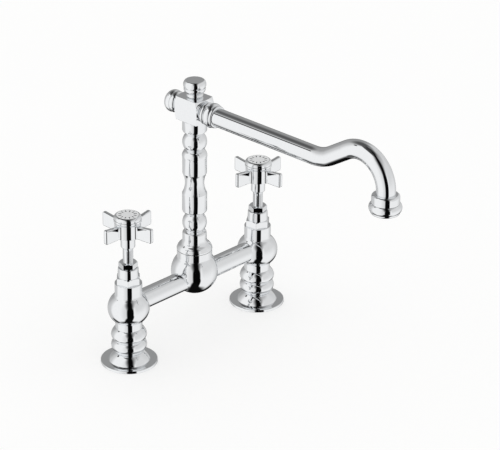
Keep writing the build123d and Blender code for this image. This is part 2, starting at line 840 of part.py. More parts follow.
        extrude(amount=drive_z - skirt_z, mode=Mode.SUBTRACT)
        with BuildSketch(headwork_plane.offset(drive_z)):
            Rectangle(drive_flats + 2 * thread_clearance, drive_flats + 2 * thread_clearance)
        extrude(amount=web_z - drive_z, mode=Mode.SUBTRACT)
        with BuildSketch(deck_plane.offset(web_z)):
            Circle(screw_radius + assembly_clearance)
        extrude(amount=screw_web, mode=Mode.SUBTRACT)
        with BuildSketch(deck_plane.offset(web_top_z)):
            Circle(cap_plug_radius + thread_clearance)
        extrude(amount=handle_top_z - web_top_z, mode=Mode.SUBTRACT)
    cross_handle.part.label = f"{side_name}_cross_handle"
    export_step(cross_handle.part, f"parts/{side_name}_cross_handle.step")

    # Handle screw, under the cap, with a hexagon socket
    with BuildPart() as handle_screw:
        with BuildSketch(deck_plane.offset(web_top_z)):
            Circle(screw_head_radius)
        extrude(amount=screw_head_height)
        with BuildSketch(deck_plane.offset(web_top_z - screw_length)):
            Circle(screw_radius)
        extrude(amount=screw_length)
        with BuildSketch(deck_plane.offset(web_top_z + screw_head_height / 3)):
            RegularPolygon(screw_socket_flats / 2, 6, major_radius=False)
        extrude(amount=screw_head_height, mode=Mode.SUBTRACT)
    handle_screw.part.label = f"{side_name}_handle_screw"
    export_step(handle_screw.part, f"parts/{side_name}_handle_screw.step")

    # Cap, a low dome with a flat top, plugged into the handle
    with BuildPart() as handle_cap:
        with BuildSketch(pillar_plane):
            with BuildLine():
                Polyline(
                    (0, cap_top_z),
                    (0, cap_plug_z),
                    (cap_plug_radius, cap_plug_z),
                    (cap_plug_radius, cap_z),
                    (cap_radius, cap_z),
                    (cap_radius, cap_z + cap_rim_height),
                )
                EllipticalCenterArc(
                    (cap_flat_radius, cap_z + cap_rim_height),
                    cap_radius - cap_flat_radius,
                    cap_height - cap_rim_height,
                    start_angle=0,
                    arc_size=90,
                )
                Line((cap_flat_radius, cap_top_z), (0, cap_top_z))
            make_face()
        revolve(axis=pillar_axis)
    handle_cap.part.label = f"{side_name}_handle_cap"
    export_step(handle_cap.part, f"parts/{side_name}_handle_cap.step")

    # Bridge tube, from the valve body to the centre body
    with BuildPart() as bridge_tube:
        tube_length = hole_spacing / 2 - pillar_socket_offset - centre_socket_offset
        with BuildSketch(port_plane.offset(pillar_socket_offset)):
            Circle(bridge_radius)
            Circle(bridge_bore_radius, mode=Mode.SUBTRACT)
        extrude(amount=tube_length)
    bridge_tube.part.label = f"{side_name}_bridge_tube"
    export_step(bridge_tube.part, f"parts/{side_name}_bridge_tube.step")

# O-rings at both ends of both bridge tubes
with BuildPart() as bridge_o_rings:
    ring_inset = bridge_ring_offset + bridge_groove_width / 2
    pillar_ring_x = hole_spacing / 2 - pillar_socket_offset - ring_inset
    centre_ring_x = centre_socket_offset + ring_inset
    for ring_x in (-pillar_ring_x, -centre_ring_x, centre_ring_x, pillar_ring_x):
        with BuildSketch(Plane.XZ):
            with Locations((ring_x, bridge_z + bridge_ring_radius)):
                Circle(bridge_ring_section)
        revolve(axis=Axis((0, 0, bridge_z), (1, 0, 0)))
bridge_o_rings.part.label = "bridge_o_rings"
export_step(bridge_o_rings.part, "parts/bridge_o_rings.step")

# Centre body: a ball with two side sockets and the socket for the column's spigot
with BuildPart() as centre_body:
    socket_radius = spigot_radius + running_clearance
    collar_foot_rise = math.sqrt(centre_radius**2 - centre_collar_radius**2)
    with BuildSketch(Plane.XZ):
        with BuildLine():
            ThreePointArc(
                (0, centre_z - centre_radius),
                (centre_radius, centre_z),
                (centre_collar_radius, centre_z + collar_foot_rise),
            )
            Polyline(
                (centre_collar_radius, centre_z + collar_foot_rise),
                (centre_collar_radius, centre_top_z),
                (0, centre_top_z),
                (0, centre_z - centre_radius),
            )
        make_face()
    revolve(axis=Axis.Z)
    blend_z = centre_z + collar_foot_rise
    fillet(
        centre_body.edges().filter_by_position(
            Axis.Z, blend_z - edge_pick_range, blend_z + edge_pick_range
        ),
        radius=centre_blend_radius,
    )
    with BuildSketch(Plane.XY.offset(bridge_z)):
        Circle(mixing_bore_radius)
    extrude(amount=spigot_z - bridge_z, mode=Mode.SUBTRACT)
    with BuildSketch(Plane.XY.offset(spigot_z - seam_gap)):
        Circle(socket_radius)
    extrude(amount=centre_top_z - spigot_z + seam_gap, mode=Mode.SUBTRACT)
    with BuildSketch(Plane.XY.offset(column_z - bearing_thickness)):
        Circle(bearing_outer_radius + assembly_clearance)
        Circle(bearing_inner_radius - assembly_clearance, mode=Mode.SUBTRACT)
    extrude(amount=bearing_thickness, mode=Mode.SUBTRACT)
    for side in sides.values():
        side_plane = Plane(origin=(0, 0, bridge_z), x_dir=(0, 1, 0), z_dir=(side, 0, 0))
        with BuildSketch(side_plane):
            Circle(bridge_bore_radius)
        extrude(amount=centre_radius, mode=Mode.SUBTRACT)
        with BuildSketch(side_plane.offset(centre_socket_offset)):
            Circle(bridge_radius + thread_clearance)
        extrude(amount=centre_radius, mode=Mode.SUBTRACT)
        with BuildSketch(side_plane.offset(centre_socket_offset + bridge_ring_offset)):
            Circle(bridge_groove_radius)
        extrude(amount=bridge_groove_width, mode=Mode.SUBTRACT)
    grub_plane = Plane(origin=(0, 0, retaining_groove_z), x_dir=(1, 0, 0), z_dir=(0, 1, 0))
    with BuildSketch(grub_plane):
        Circle(grub_radius + thread_clearance)
    extrude(amount=centre_radius, mode=Mode.SUBTRACT)
centre_body.part.label = "centre_body"
export_step(centre_body.part, "parts/centre_body.step")

# Bearing ring that carries the column on the centre body
with BuildPart() as bearing_ring:
    with BuildSketch(Plane.XY.offset(column_z - bearing_thickness)):
        Circle(bearing_outer_radius)
        Circle(bearing_inner_radius, mode=Mode.SUBTRACT)
    extrude(amount=bearing_thickness)
bearing_ring.part.label = "bearing_ring"
export_step(bearing_ring.part, "parts/bearing_ring.step")

# Grub screw at the back, its tip in the spigot's groove
with BuildPart() as grub_screw:
    grub_tip_y = spigot_radius - retaining_groove_depth + grub_tip_gap
    grub_end_y = centre_collar_radius - grub_sink
    with BuildSketch(grub_plane.offset(grub_tip_y)):
        Circle(grub_tip_radius)
    extrude(amount=grub_tip_length)
    with BuildSketch(grub_plane.offset(grub_tip_y + grub_tip_length)):
        Circle(grub_radius)
    extrude(amount=grub_end_y - grub_tip_y - grub_tip_length)
    with BuildSketch(grub_plane.offset(grub_end_y - grub_radius)):
        RegularPolygon(grub_radius / 2, 6, major_radius=False)
    extrude(amount=grub_radius, mode=Mode.SUBTRACT)
grub_screw.part.label = "grub_screw"
export_step(grub_screw.part, "parts/grub_screw.step")

# Column: spigot, flared foot, vase, ball, drum, waist, drum, ball and neck collar
with BuildPart() as column:
    flare_middle_radius = (centre_collar_radius + vase_radius) / 2
    vase_shoulder_radius = vase_radius - vase_shoulder_inset
    upper_shoulder_radius = upper_drum_radius - upper_shoulder_inset
    with BuildSketch(Plane.XZ):
        with BuildLine():
            Polyline(
                (waterway_radius, spigot_z),
                (spigot_radius, spigot_z),
                (spigot_radius, column_z),
                (centre_collar_radius, column_z),
            )
            ThreePointArc(
                (centre_collar_radius, column_z),
                (centre_collar_radius + foot_bead_bulge, (column_z + foot_bead_z) / 2),
                (centre_collar_radius - foot_bead_inset, foot_bead_z),
            )
            foot_flare = ThreePointArc(
                (centre_collar_radius - foot_bead_inset, foot_bead_z),
                (
                    flare_middle_radius + foot_flare_bulge,
                    (foot_bead_z + foot_flare_z) / 2 + foot_flare_lift,
                ),
                (flare_middle_radius - foot_flare_inset, foot_flare_z),
            )
            TangentArc(
                foot_flare @ 1,
                (vase_radius, foot_neck_z),
                tangent=foot_flare % 1,
            )
            vase_side = Line((vase_radius, foot_neck_z), (vase_radius, vase_top_z))
            TangentArc(
                vase_side @ 1,
                (vase_shoulder_radius, vase_shoulder_z),
                tangent=vase_side % 1,
            )
            Line((vase_shoulder_radius, vase_shoulder_z), (groove_radius, lower_ball_z))
            ThreePointArc(
                (groove_radius, lower_ball_z),
                (ball_radius, (lower_ball_z + lower_ball_top_z) / 2),
                (groove_radius, lower_ball_top_z),
            )
            Polyline(
                (groove_radius, lower_ball_top_z),
                (drum_radius - drum_edge_inset, lower_drum_z - drum_edge_height),
                (drum_radius, lower_drum_z),
                (drum_radius, lower_drum_top_z),
            )
            ThreePointArc(
                (drum_radius, lower_drum_top_z),
                (waist_radius, (lower_drum_top_z + waist_top_z) / 2),
                (upper_drum_radius, waist_top_z),
            )
            Line((upper_drum_radius, waist_top_z), (upper_drum_radius, upper_drum_top_z))
            ThreePointArc(
                (upper_drum_radius, upper_drum_top_z),
                (
                    upper_drum_radius + upper_shoulder_bulge,
                    (upper_drum_top_z + upper_shoulder_z) / 2,
                ),
                (upper_shoulder_radius, upper_shoulder_z),
            )
            Line((upper_shoulder_radius, upper_shoulder_z), (groove_radius, upper_ball_z))
            ThreePointArc(
                (groove_radius, upper_ball_z),
                (ball_radius, (upper_ball_z + upper_ball_top_z) / 2),
                (groove_radius, upper_ball_top_z),
            )
            Polyline(
                (groove_radius, upper_ball_top_z),
                (neck_collar_radius - drum_edge_inset, neck_collar_z - drum_edge_height),
                (neck_collar_radius, neck_collar_z),
                (neck_collar_radius, column_top_z),
                (column_joint_radius, column_top_z),
                (column_joint_radius, column_top_z + column_joint_length),
                (waterway_radius, column_top_z + column_joint_length),
                (waterway_radius, spigot_z),
            )
        make_face()
    revolve(axis=Axis.Z)
    spigot_groove_radius = spigot_radius - 2 * spigot_ring_section - thread_clearance
    spigot_groove_half = spigot_ring_section + spigot_ring_side_gap
    for ring_rise in spigot_ring_rises:
        with BuildSketch(Plane.XY.offset(spigot_z + ring_rise - spigot_groove_half)):
            Circle(spigot_radius + assembly_clearance)
            Circle(spigot_groove_radius, mode=Mode.SUBTRACT)
        extrude(amount=2 * spigot_groove_half, mode=Mode.SUBTRACT)
    with BuildSketch(Plane.XY.offset(retaining_groove_z - retaining_groove_width / 2)):
        Circle(spigot_radius + assembly_clearance)
        Circle(spigot_radius - retaining_groove_depth, mode=Mode.SUBTRACT)
    extrude(amount=retaining_groove_width, mode=Mode.SUBTRACT)
column.part.label = "column"
export_step(column.part, "parts/column.step")

# Two O-rings on the column's spigot
with BuildPart() as spigot_o_rings:
    for ring_rise in spigot_ring_rises:
        with BuildSketch(Plane.XZ):
            with Locations((spigot_radius - spigot_ring_section, spigot_z + ring_rise)):
                Circle(spigot_ring_section)
        revolve(axis=Axis.Z)
spigot_o_rings.part.label = "spigot_o_rings"
export_step(spigot_o_rings.part, "parts/spigot_o_rings.step")

# Tee block: square bar whose front and rear corners are turned to a cone
spout_plane = Plane(origin=(0, 0, spout_z), x_dir=(1, 0, 0), z_dir=(0, 0, -1))
front_plane = Plane(origin=(0, 0, spout_z), x_dir=(1, 0, 0), z_dir=(0, -1, 0))
rear_plane = Plane(origin=(0, 0, spout_z), x_dir=(1, 0, 0), z_dir=(0, 1, 0))
with BuildPart() as tee_block:
    block_middle_y = (block_rear - block_front) / 2
    with BuildSketch(Plane(origin=(0, block_middle_y, block_z))):
        Rectangle(block_width, block_front + block_rear)
    extrude(amount=block_top_z - block_z)
    with BuildSketch(spout_plane):
        with BuildLine():
            Polyline(
                (0, block_front),
                (block_end_radius, block_front),
                (block_chamfer_radius, block_front - block_chamfer_length),
                (block_chamfer_radius, block_chamfer_length - block_rear),
                (block_end_radius, -block_rear),
                (0, -block_rear),
                (0, block_front),
            )
        make_face()
    revolve(axis=Axis((0, 0, spout_z), (0, 1, 0)), mode=Mode.INTERSECT)
    with BuildSketch(Plane.XY.offset(block_z)):
        Circle(column_joint_radius + thread_clearance)
    extrude(amount=column_joint_length + assembly_clearance, mode=Mode.SUBTRACT)
    with BuildSketch(Plane.XY.offset(block_z)):
        Circle(column_seal_outer_radius)
    extrude(amount=column_seal_thickness, mode=Mode.SUBTRACT)
    with BuildSketch(Plane.XY.offset(block_z)):
        Circle(waterway_radius)
    extrude(amount=spout_above_block_foot, mode=Mode.SUBTRACT)
    with BuildSketch(front_plane.offset(block_front)):
        Circle(spout_bore_radius)
    extrude(amount=-block_front - waterway_radius, mode=Mode.SUBTRACT)
    with BuildSketch(front_plane.offset(block_front)):
        Circle(collar_joint_radius + thread_clearance)
    extrude(amount=-collar_joint_length - assembly_clearance, mode=Mode.SUBTRACT)
    for hole_plane in (Plane.XY.offset(block_top_z), rear_plane.offset(block_rear)):
        with BuildSketch(hole_plane):
            Circle(finial_stem_radius + thread_clearance)
        extrude(amount=-finial_stem_length - assembly_clearance, mode=Mode.SUBTRACT)
        with BuildSketch(hole_plane):
            Circle(finial_washer_radius + assembly_clearance)
        extrude(amount=-finial_washer_thickness, mode=Mode.SUBTRACT)
tee_block.part.label = "tee_block"
export_step(tee_block.part, "parts/tee_block.step")

# Flat seal between column and block
with BuildPart() as column_seal:
    with BuildSketch(Plane.XY.offset(column_top_z)):
        Circle(column_seal_outer_radius - assembly_clearance)
        Circle(column_joint_radius + assembly_clearance, mode=Mode.SUBTRACT)
    extrude(amount=column_seal_thickness)
column_seal.part.label = "column_seal"
export_step(column_seal.part, "parts/column_seal.step")

# Two finials of one shape, on the block's top and on its rear face
finial_places = {
    "top_finial": (
        Plane(origin=(0, 0, block_top_z), x_dir=(1, 0, 0), z_dir=(0, -1, 0)),
        Axis((0, 0, block_top_z), (0, 0, 1)),
    ),
    "rear_finial": (
        Plane(origin=(0, block_rear, spout_z), x_dir=(1, 0, 0), z_dir=(0, 0, 1)),
        Axis((0, block_rear, spout_z), (0, 1, 0)),
    ),
}
for finial_name, (finial_plane, finial_axis) in finial_places.items():
    band_start = finial_bead_height
    band_end = band_start + finial_band_height
    head_start = band_end + finial_line_depth
    head_end = head_start + finial_head_height
    with BuildPart() as finial:
        with BuildSketch(finial_plane):
            with BuildLine():
                Polyline(
                    (0, -finial_stem_length),
                    (finial_stem_radius, -finial_stem_length),
                    (finial_stem_radius, 0),
                    (finial_bead_foot_radius, 0),
                )
                ThreePointArc(
                    (finial_bead_foot_radius, 0),
                    (finial_bead_radius, band_start / 2),
                    (finial_bead_foot_radius, band_start),
                )
                ThreePointArc(
                    (finial_bead_foot_radius, band_start),
                    (
                        (finial_bead_foot_radius + finial_band_radius) / 2 + finial_band_bulge,
                        band_start + finial_band_crest * finial_band_height,
                    ),
                    (finial_band_radius, band_end),
                )
                Polyline(
                    (finial_band_radius, band_end),
                    (finial_band_radius - finial_line_depth, band_end + finial_line_depth / 2),
                    (finial_band_radius, head_start),
                )
                ThreePointArc(
                    (finial_band_radius, head_start),
                    (finial_head_radius, head_start + finial_head_crest * finial_head_height),
                    (finial_flat_radius + finial_edge_width, head_end - finial_edge_height),
                )
                ThreePointArc(
                    (finial_flat_radius + finial_edge_width, head_end - finial_edge_height),
                    (
                        finial_flat_radius + finial_edge_middle_width,
                        head_end - finial_edge_middle_height,
                    ),
                    (finial_flat_radius, head_end),
                )
                Polyline(
                    (finial_flat_radius, head_end),
                    (0, head_end),
                    (0, -finial_stem_length),
                )
            make_face()
        revolve(axis=finial_axis)
    finial.part.label = finial_name
    export_step(finial.part, f"parts/{finial_name}.step")

# Washers under both finials
with BuildPart() as finial_washers:
    for washer_plane in (Plane.XY.offset(block_top_z), rear_plane.offset(block_rear)):
        with BuildSketch(washer_plane):
            Circle(finial_washer_radius)
            Circle(finial_stem_radius + assembly_clearance, mode=Mode.SUBTRACT)
        extrude(amount=-finial_washer_thickness)
finial_washers.part.label = "finial_washers"
export_step(finial_washers.part, "parts/finial_washers.step")

# Spout collar, turned, screwed into the block's front face
with BuildPart() as spout_collar:
    with BuildSketch(spout_plane):
        with BuildLine():
            Polyline(
                (spout_bore_radius, block_front - collar_joint_length),
                (collar_joint_radius, block_front - collar_joint_length),
                (collar_joint_radius, block_front),
                (collar_neck_radius, block_front),
                (collar_neck_radius, collar_neck_end),
            )
            ThreePointArc(
                (collar_neck_radius, collar_neck_end),
                (
                    (collar_neck_radius + collar_groove_radius) / 2 + collar_ring_bulge,
                    (collar_neck_end + collar_ring_end) / 2,
                ),
                (collar_groove_radius, collar_ring_end),
            )
            ThreePointArc(
                (collar_groove_radius, collar_ring_end),
                (
                    (collar_groove_radius + collar_step_radius) / 2 + collar_bead_bulge,
                    collar_ring_end + collar_bead_crest * collar_bead_length,
                ),
                (collar_step_radius, collar_bead_end),
            )
            ThreePointArc(
                (collar_step_radius, collar_bead_end),
                (
                    (collar_step_radius + collar_end_radius) / 2 + collar_lip_bulge,
                    (collar_bead_end + collar_lip_end) / 2,
                ),
                (collar_end_radius, collar_lip_end),
            )
            Polyline(
                (collar_end_radius, collar_lip_end),
                (spout_radius + thread_clearance, collar_lip_end),
                (spout_radius + thread_clearance, spout_start),
                (spout_bore_radius, spout_start),
                (spout_bore_radius, block_front - collar_joint_length),
            )
        make_face()
    revolve(axis=Axis((0, 0, spout_z), (0, -1, 0)))
spout_collar.part.label = "spout_collar"
export_step(spout_collar.part, "parts/spout_collar.step")

# Spout tube: straight, then a long rise, then a tight turn straight down
with BuildPart() as spout_tube:
    bend_plane = Plane(origin=(0, 0, spout_z), x_dir=(0, -1, 0), z_dir=(-1, 0, 0))
    with BuildLine(bend_plane) as spout_path:
        straight = Line((spout_start, 0), (spout_straight, 0))
        rise_arc = JernArc(straight @ 1, straight % 1, rise_radius, rise_angle)
        rise_line = Line(rise_arc @ 1, rise_arc @ 1 + rise_straight * (rise_arc % 1))
        drop_arc = JernArc(rise_line @ 1, rise_line % 1, drop_radius, -rise_angle - 90)
        Line(drop_arc @ 1, drop_arc @ 1 + drop_straight * (drop_arc % 1))
    with BuildSketch(front_plane.offset(spout_start)):
        Circle(spout_radius)
        Circle(spout_bore, mode=Mode.SUBTRACT)
    sweep(path=spout_path.wire())
spout_tube.part.label = "spout_tube"
export_step(spout_tube.part, "parts/spout_tube.step")

# The pieces at the spout's end turn about the drop's axis
outlet_plane = Plane(origin=(0, -spout_reach, 0), x_dir=(1, 0, 0), z_dir=(0, -1, 0))
outlet_axis = Axis((0, -spout_reach, 0), (0, 0, 1))

# Outlet ring, brazed on the tube, with the thread for the aerator housing
with BuildPart() as outlet_ring:
    outlet_edge_radius = outlet_band_radius - outlet_top_radius
    outlet_edge_inset = outlet_edge_share * outlet_edge_radius
    with BuildSketch(outlet_plane):
        with BuildLine():
            Polyline(
                (spout_bore, outlet_spigot_z),
                (outlet_spigot_radius, outlet_spigot_z),
                (outlet_spigot_radius, outlet_z),
                (outlet_band_radius, outlet_z),
                (outlet_band_radius, outlet_top_z - outlet_edge_radius),
            )
            ThreePointArc(
                (outlet_band_radius, outlet_top_z - outlet_edge_radius),
                (outlet_band_radius - outlet_edge_inset, outlet_top_z - outlet_edge_inset),
                (outlet_top_radius, outlet_top_z),
            )
            Polyline(
                (outlet_top_radius, outlet_top_z),
                (spout_radius + thread_clearance, outlet_top_z),
                (spout_radius + thread_clearance, tube_end_z),
                (spout_bore, tube_end_z),
                (spout_bore, outlet_spigot_z),
            )
        make_face()
    revolve(axis=outlet_axis)
outlet_ring.part.label = "outlet_ring"
export_step(outlet_ring.part, "parts/outlet_ring.step")

# Aerator housing, a wide bead with a narrower lip, screwed on the outlet ring
with BuildPart() as aerator_housing:
    housing_bore_radius = outlet_spigot_radius + thread_clearance
    with BuildSketch(outlet_plane):
        with BuildLine():
            Polyline(
                (aerator_mouth_radius, aerator_z),
                (aerator_lip_radius - aerator_lip_chamfer, aerator_z),
                (aerator_lip_radius, aerator_z + aerator_lip_chamfer),
                (aerator_lip_radius, aerator_bead_z),
                (aerator_lip_radius + aerator_bead_foot_step, aerator_bead_z),
            )
            ThreePointArc(
                (aerator_lip_radius + aerator_bead_foot_step, aerator_bead_z),
                (aerator_bead_radius, aerator_bead_z + aerator_bead_crest * aerator_bead_height),
                (outlet_band_radius + aerator_bead_top_step, aerator_top_z),
            )
            Polyline(
                (outlet_band_radius + aerator_bead_top_step, aerator_top_z),
                (housing_bore_radius, aerator_top_z),
                (housing_bore_radius, aerator_insert_z),
                (aerator_mouth_radius, aerator_insert_z),
                (aerator_mouth_radius, aerator_z),
            )
        make_face()
    revolve(axis=outlet_axis)
aerator_housing.part.label = "aerator_housing"
export_step(aerator_housing.part, "parts/aerator_housing.step")

# Rubber seal between outlet ring and aerator insert
with BuildPart() as aerator_seal:
    with BuildSketch(Plane(origin=(0, -spout_reach, aerator_seal_z))):
        Circle(outlet_spigot_radius - assembly_clearance)
        Circle(aerator_seal_inner_radius, mode=Mode.SUBTRACT)
    extrude(amount=aerator_seal_thickness)
aerator_seal.part.label = "aerator_seal"
export_step(aerator_seal.part, "parts/aerator_seal.step")

# Aerator insert, a plastic cup with a perforated floor
with BuildPart() as aerator_insert:
    insert_radius = outlet_spigot_radius - assembly_clearance
    hole_pitch = (insert_radius - aerator_wall - aerator_hole_margin) / aerator_hole_rings
    with BuildSketch(Plane(origin=(0, -spout_reach, aerator_insert_z))):
        Circle(insert_radius)
    extrude(amount=aerator_seal_z - aerator_insert_z)
    with BuildSketch(Plane(origin=(0, -spout_reach, aerator_insert_z + aerator_floor))):
        Circle(insert_radius - aerator_wall)
    extrude(amount=aerator_seal_z - aerator_insert_z, mode=Mode.SUBTRACT)
    with BuildSketch(Plane(origin=(0, -spout_reach, aerator_insert_z))):
        Circle(aerator_hole_radius)
        for ring in range(1, aerator_hole_rings + 1):
            with PolarLocations(ring * hole_pitch, 6 * ring):
                Circle(aerator_hole_radius)
    extrude(amount=aerator_floor, mode=Mode.SUBTRACT)
aerator_insert.part.label = "aerator_insert"
export_step(aerator_insert.part, "parts/aerator_insert.step")

print("spout reach", round(spout_reach, 1), "height", round(block_top_z, 1))
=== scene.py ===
# Basin mixer tap in mirror chrome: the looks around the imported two-hole bridge mixer.
# Sizes in the dictionaries are millimetres above the deck or from a piece's own axis.
import json
import math

import bmesh
import bpy
from mathutils import Matrix, Vector

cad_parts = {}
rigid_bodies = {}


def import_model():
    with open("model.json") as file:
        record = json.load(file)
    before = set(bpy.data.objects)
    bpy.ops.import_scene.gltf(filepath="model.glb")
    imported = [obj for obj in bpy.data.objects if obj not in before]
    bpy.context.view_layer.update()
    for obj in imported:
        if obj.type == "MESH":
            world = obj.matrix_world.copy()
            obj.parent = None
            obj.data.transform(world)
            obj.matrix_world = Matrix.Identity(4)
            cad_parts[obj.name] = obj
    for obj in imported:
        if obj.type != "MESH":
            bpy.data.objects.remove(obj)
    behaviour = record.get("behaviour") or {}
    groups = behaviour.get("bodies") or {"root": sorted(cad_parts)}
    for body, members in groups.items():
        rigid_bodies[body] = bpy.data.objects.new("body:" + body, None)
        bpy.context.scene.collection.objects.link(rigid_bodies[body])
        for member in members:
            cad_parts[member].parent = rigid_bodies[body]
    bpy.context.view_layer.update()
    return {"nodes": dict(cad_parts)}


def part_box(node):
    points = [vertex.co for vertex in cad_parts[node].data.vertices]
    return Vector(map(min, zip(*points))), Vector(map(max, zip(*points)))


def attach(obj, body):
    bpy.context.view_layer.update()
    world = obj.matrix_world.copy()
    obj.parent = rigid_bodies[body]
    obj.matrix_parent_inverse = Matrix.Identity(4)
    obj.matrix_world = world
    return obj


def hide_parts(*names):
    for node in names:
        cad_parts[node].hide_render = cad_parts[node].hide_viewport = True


for leftover in list(bpy.data.objects):
    bpy.data.objects.remove(leftover)
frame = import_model()
scene = bpy.context.scene
millimetre = 0.001
print("frame loaded:", len(frame["nodes"]), "CAD nodes")


# Small helpers: colours, nodes, outlines, meshes


def linearColour(hexCode):
    channels = [int(hexCode[i : i + 2], 16) / 255 for i in (1, 3, 5)]
    return [c / 12.92 if c <= 0.04045 else ((c + 0.055) / 1.055) ** 2.4 for c in channels] + [1.0]


def addNode(tree, kind, settings=None, inputs=None):
    # a node with its settings; an input is a value, a socket or a node whose first output it takes
    node = tree.nodes.new(kind)
    for key, value in (settings or {}).items():
        setattr(node, key, value)
    for key, value in (inputs or {}).items():
        if isinstance(value, bpy.types.Node):
            value = value.outputs[0]
        if isinstance(value, bpy.types.NodeSocket):
            tree.links.new(value, node.inputs[key])
        else:
            node.inputs[key].default_value = value
    return node


def calculated(tree, operation, *values):
    node = addNode(tree, "ShaderNodeMath", {"operation": operation}, dict(enumerate(values)))
    return node.outputs["Value"]


def arcThrough(start, middle, end, step=5.0):
    # points of the circle through three points, start and end included
    (ax, ay), (bx, by), (cx, cy) = start, middle, end
    d = 2 * (ax * (by - cy) + bx * (cy - ay) + cx * (ay - by))
    sa, sb, sc = ax * ax + ay * ay, bx * bx + by * by, cx * cx + cy * cy
    ux = (sa * (by - cy) + sb * (cy - ay) + sc * (ay - by)) / d
    uy = (sa * (cx - bx) + sb * (ax - cx) + sc * (bx - ax)) / d
    radius = math.hypot(ax - ux, ay - uy)
    first = math.atan2(ay - uy, ax - ux)
    halfway = (math.atan2(by - uy, bx - ux) - first) % math.tau
    sweep = (math.atan2(cy - uy, cx - ux) - first) % math.tau
    if halfway > sweep:
        sweep -= math.tau
    count = max(2, math.ceil(abs(math.degrees(sweep)) / step))
    angles = [first + sweep * i / count for i in range(count + 1)]
    points = [(ux + radius * math.cos(a), uy + radius * math.sin(a)) for a in angles]
    return [start] + points[1:-1] + [end]


def bulged(start, end, outward, onward=0.0):
    # an arc whose middle stands off the middle of its chord by this much
    middle = ((start[0] + end[0]) / 2 + outward, (start[1] + end[1]) / 2 + onward)
    return arcThrough(start, middle, end)


def named(sizes, names):
    # points of an outline, each by the names of its radius and its height in a dictionary
    return [tuple(sizes[name] for name in pair.split(",")) for pair in names.split()]


def swelled(sizes, start, radius, end):
    # an arc between two named points that reaches this radius at half its height
    start, end = named(sizes, start + " " + end)
    return arcThrough(start, (sizes[radius], (start[1] + end[1]) / 2), end)


def joined(*runs):
    # one closed outline out of points and arcs, without doubled points
    points = []
    for run in runs:
        for point in run if isinstance(run, list) else [run]:
            if not points or math.dist(points[-1][:2], point[:2]) > 1e-6:
                points.append(point)
    if math.dist(points[0][:2], points[-1][:2]) < 1e-6:
        points.pop()
    return points


def alongOutline(points, corner, step, distance):
    # the point this far along a closed outline from one of its corners, and how many points it passed
    passed = 0
    here = Vector(points[corner][:2])
    left = distance
    while passed < len(points):
        there = Vector(points[(corner + step * (passed + 1)) % len(points)][:2])
        length = (there - here).length
        if length > left:
            return here.lerp(there, left / length), passed
        left -= length
        here = there
        passed += 1
    return here, passed


def cornerCurve(start, corner, end, t):
    return start * (1 - t) ** 2 + corner * 2 * t * (1 - t) + end * t * t


def softened(points, edgeRadius=0.25, turnFrom=24.0, pieces=4):
    # every sharp corner of a closed outline gets a small round edge, or the one given as its third value
    # a point beside each round keeps the long faces next to it shading flat
    count = len(points)
    cuts = {}
    for i in range(count):
        before = (Vector(points[i][:2]) - Vector(points[i - 1][:2])).normalized()
        after = (Vector(points[(i + 1) % count][:2]) - Vector(points[i][:2])).normalized()
        turning = math.degrees(before.angle(after, 0))
        size = points[i][2] if len(points[i]) > 2 else edgeRadius
        onAxis = abs(points[i][0]) < 1e-6
        if size > 0 and not onAxis and (turning > turnFrom or len(points[i]) > 2):
            spread = size * math.tan(math.radians(min(turning, 120.0)) / 2)
            toLast = (Vector(points[i][:2]) - Vector(points[i - 1][:2])).length
            toNext = (Vector(points[(i + 1) % count][:2]) - Vector(points[i][:2])).length
            if len(points[i]) == 2:
                spread = min(spread, 0.4 * toLast, 0.4 * toNext)
            cuts[i] = spread
    dropped = set(cuts)
    rounds = {}
    for i, spread in cuts.items():
        start, passedBack = alongOutline(points, i, -1, spread)
        end, passedOn = alongOutline(points, i, 1, spread)
        dropped |= {(i - k) % count for k in range(passedBack + 1)}
        dropped |= {(i + k) % count for k in range(passedOn + 1)}
        corner = Vector(points[i][:2])
        support = min(0.25, 0.4 * spread + 0.05)
        outer, farBack = alongOutline(points, i, -1, spread + support)
        inner, farOn = alongOutline(points, i, 1, spread + support)
        run = [outer] if farBack == passedBack else []
        for k in range(pieces + 1):
            t = k / pieces
            run.append(cornerCurve(start, corner, end, t))
        if farOn == passedOn:
            run.append(inner)
        rounds[i] = [tuple(p) for p in run]
    result = []
    for i in range(count):
        if i in rounds:
            result += rounds[i]
        elif i not in dropped:
            result.append(tuple(points[i][:2]))
    return joined(result)


def turned(bm, outline, place, segments=96):
    # a closed outline of (radius, height) turned about the local Z axis of place
    rings = []
    for radius, height in outline:
        if abs(radius) < 1e-6:
            rings.append([bm.verts.new(place @ Vector((0, 0, height)))] * segments)
            continue
        ring = []
        for i in range(segments):
            angle = math.tau * i / segments
            point = Vector((radius * math.cos(angle), radius * math.sin(angle), height))
            ring.append(bm.verts.new(place @ point))
        rings.append(ring)
    for k, ring in enumerate(rings):
        following = rings[(k + 1) % len(rings)]
        for i in range(segments):
            j = (i + 1) % segments
            corners = []
            for vertex in (ring[i], ring[j], following[j], following[i]):
                if vertex not in corners:
                    corners.append(vertex)
            if len(corners) > 2:
                bm.faces.new(corners)


def softOutline(corners, cornerRadius, perSide):
    # a polygon with small round corners, each side cut into equal lengths
    count = len(corners)
    points = []
    for i in range(count):
        corner = Vector(corners[i])
        inward = (Vector(corners[i - 1]) - corner).normalized()
        onward = (Vector(corners[(i + 1) % count]) - corner).normalized()
        spread = cornerRadius / math.tan(inward.angle(onward) / 2)
        start = corner + inward * spread
        end = corner + onward * spread
        for k in range(5):
            t = k / 4
            points.append(cornerCurve(start, corner, end, t))
        following = Vector(corners[(i + 1) % count]) - onward * spread
        for k in range(1, perSide):
            points.append(end.lerp(following, k / perSide))
    return points


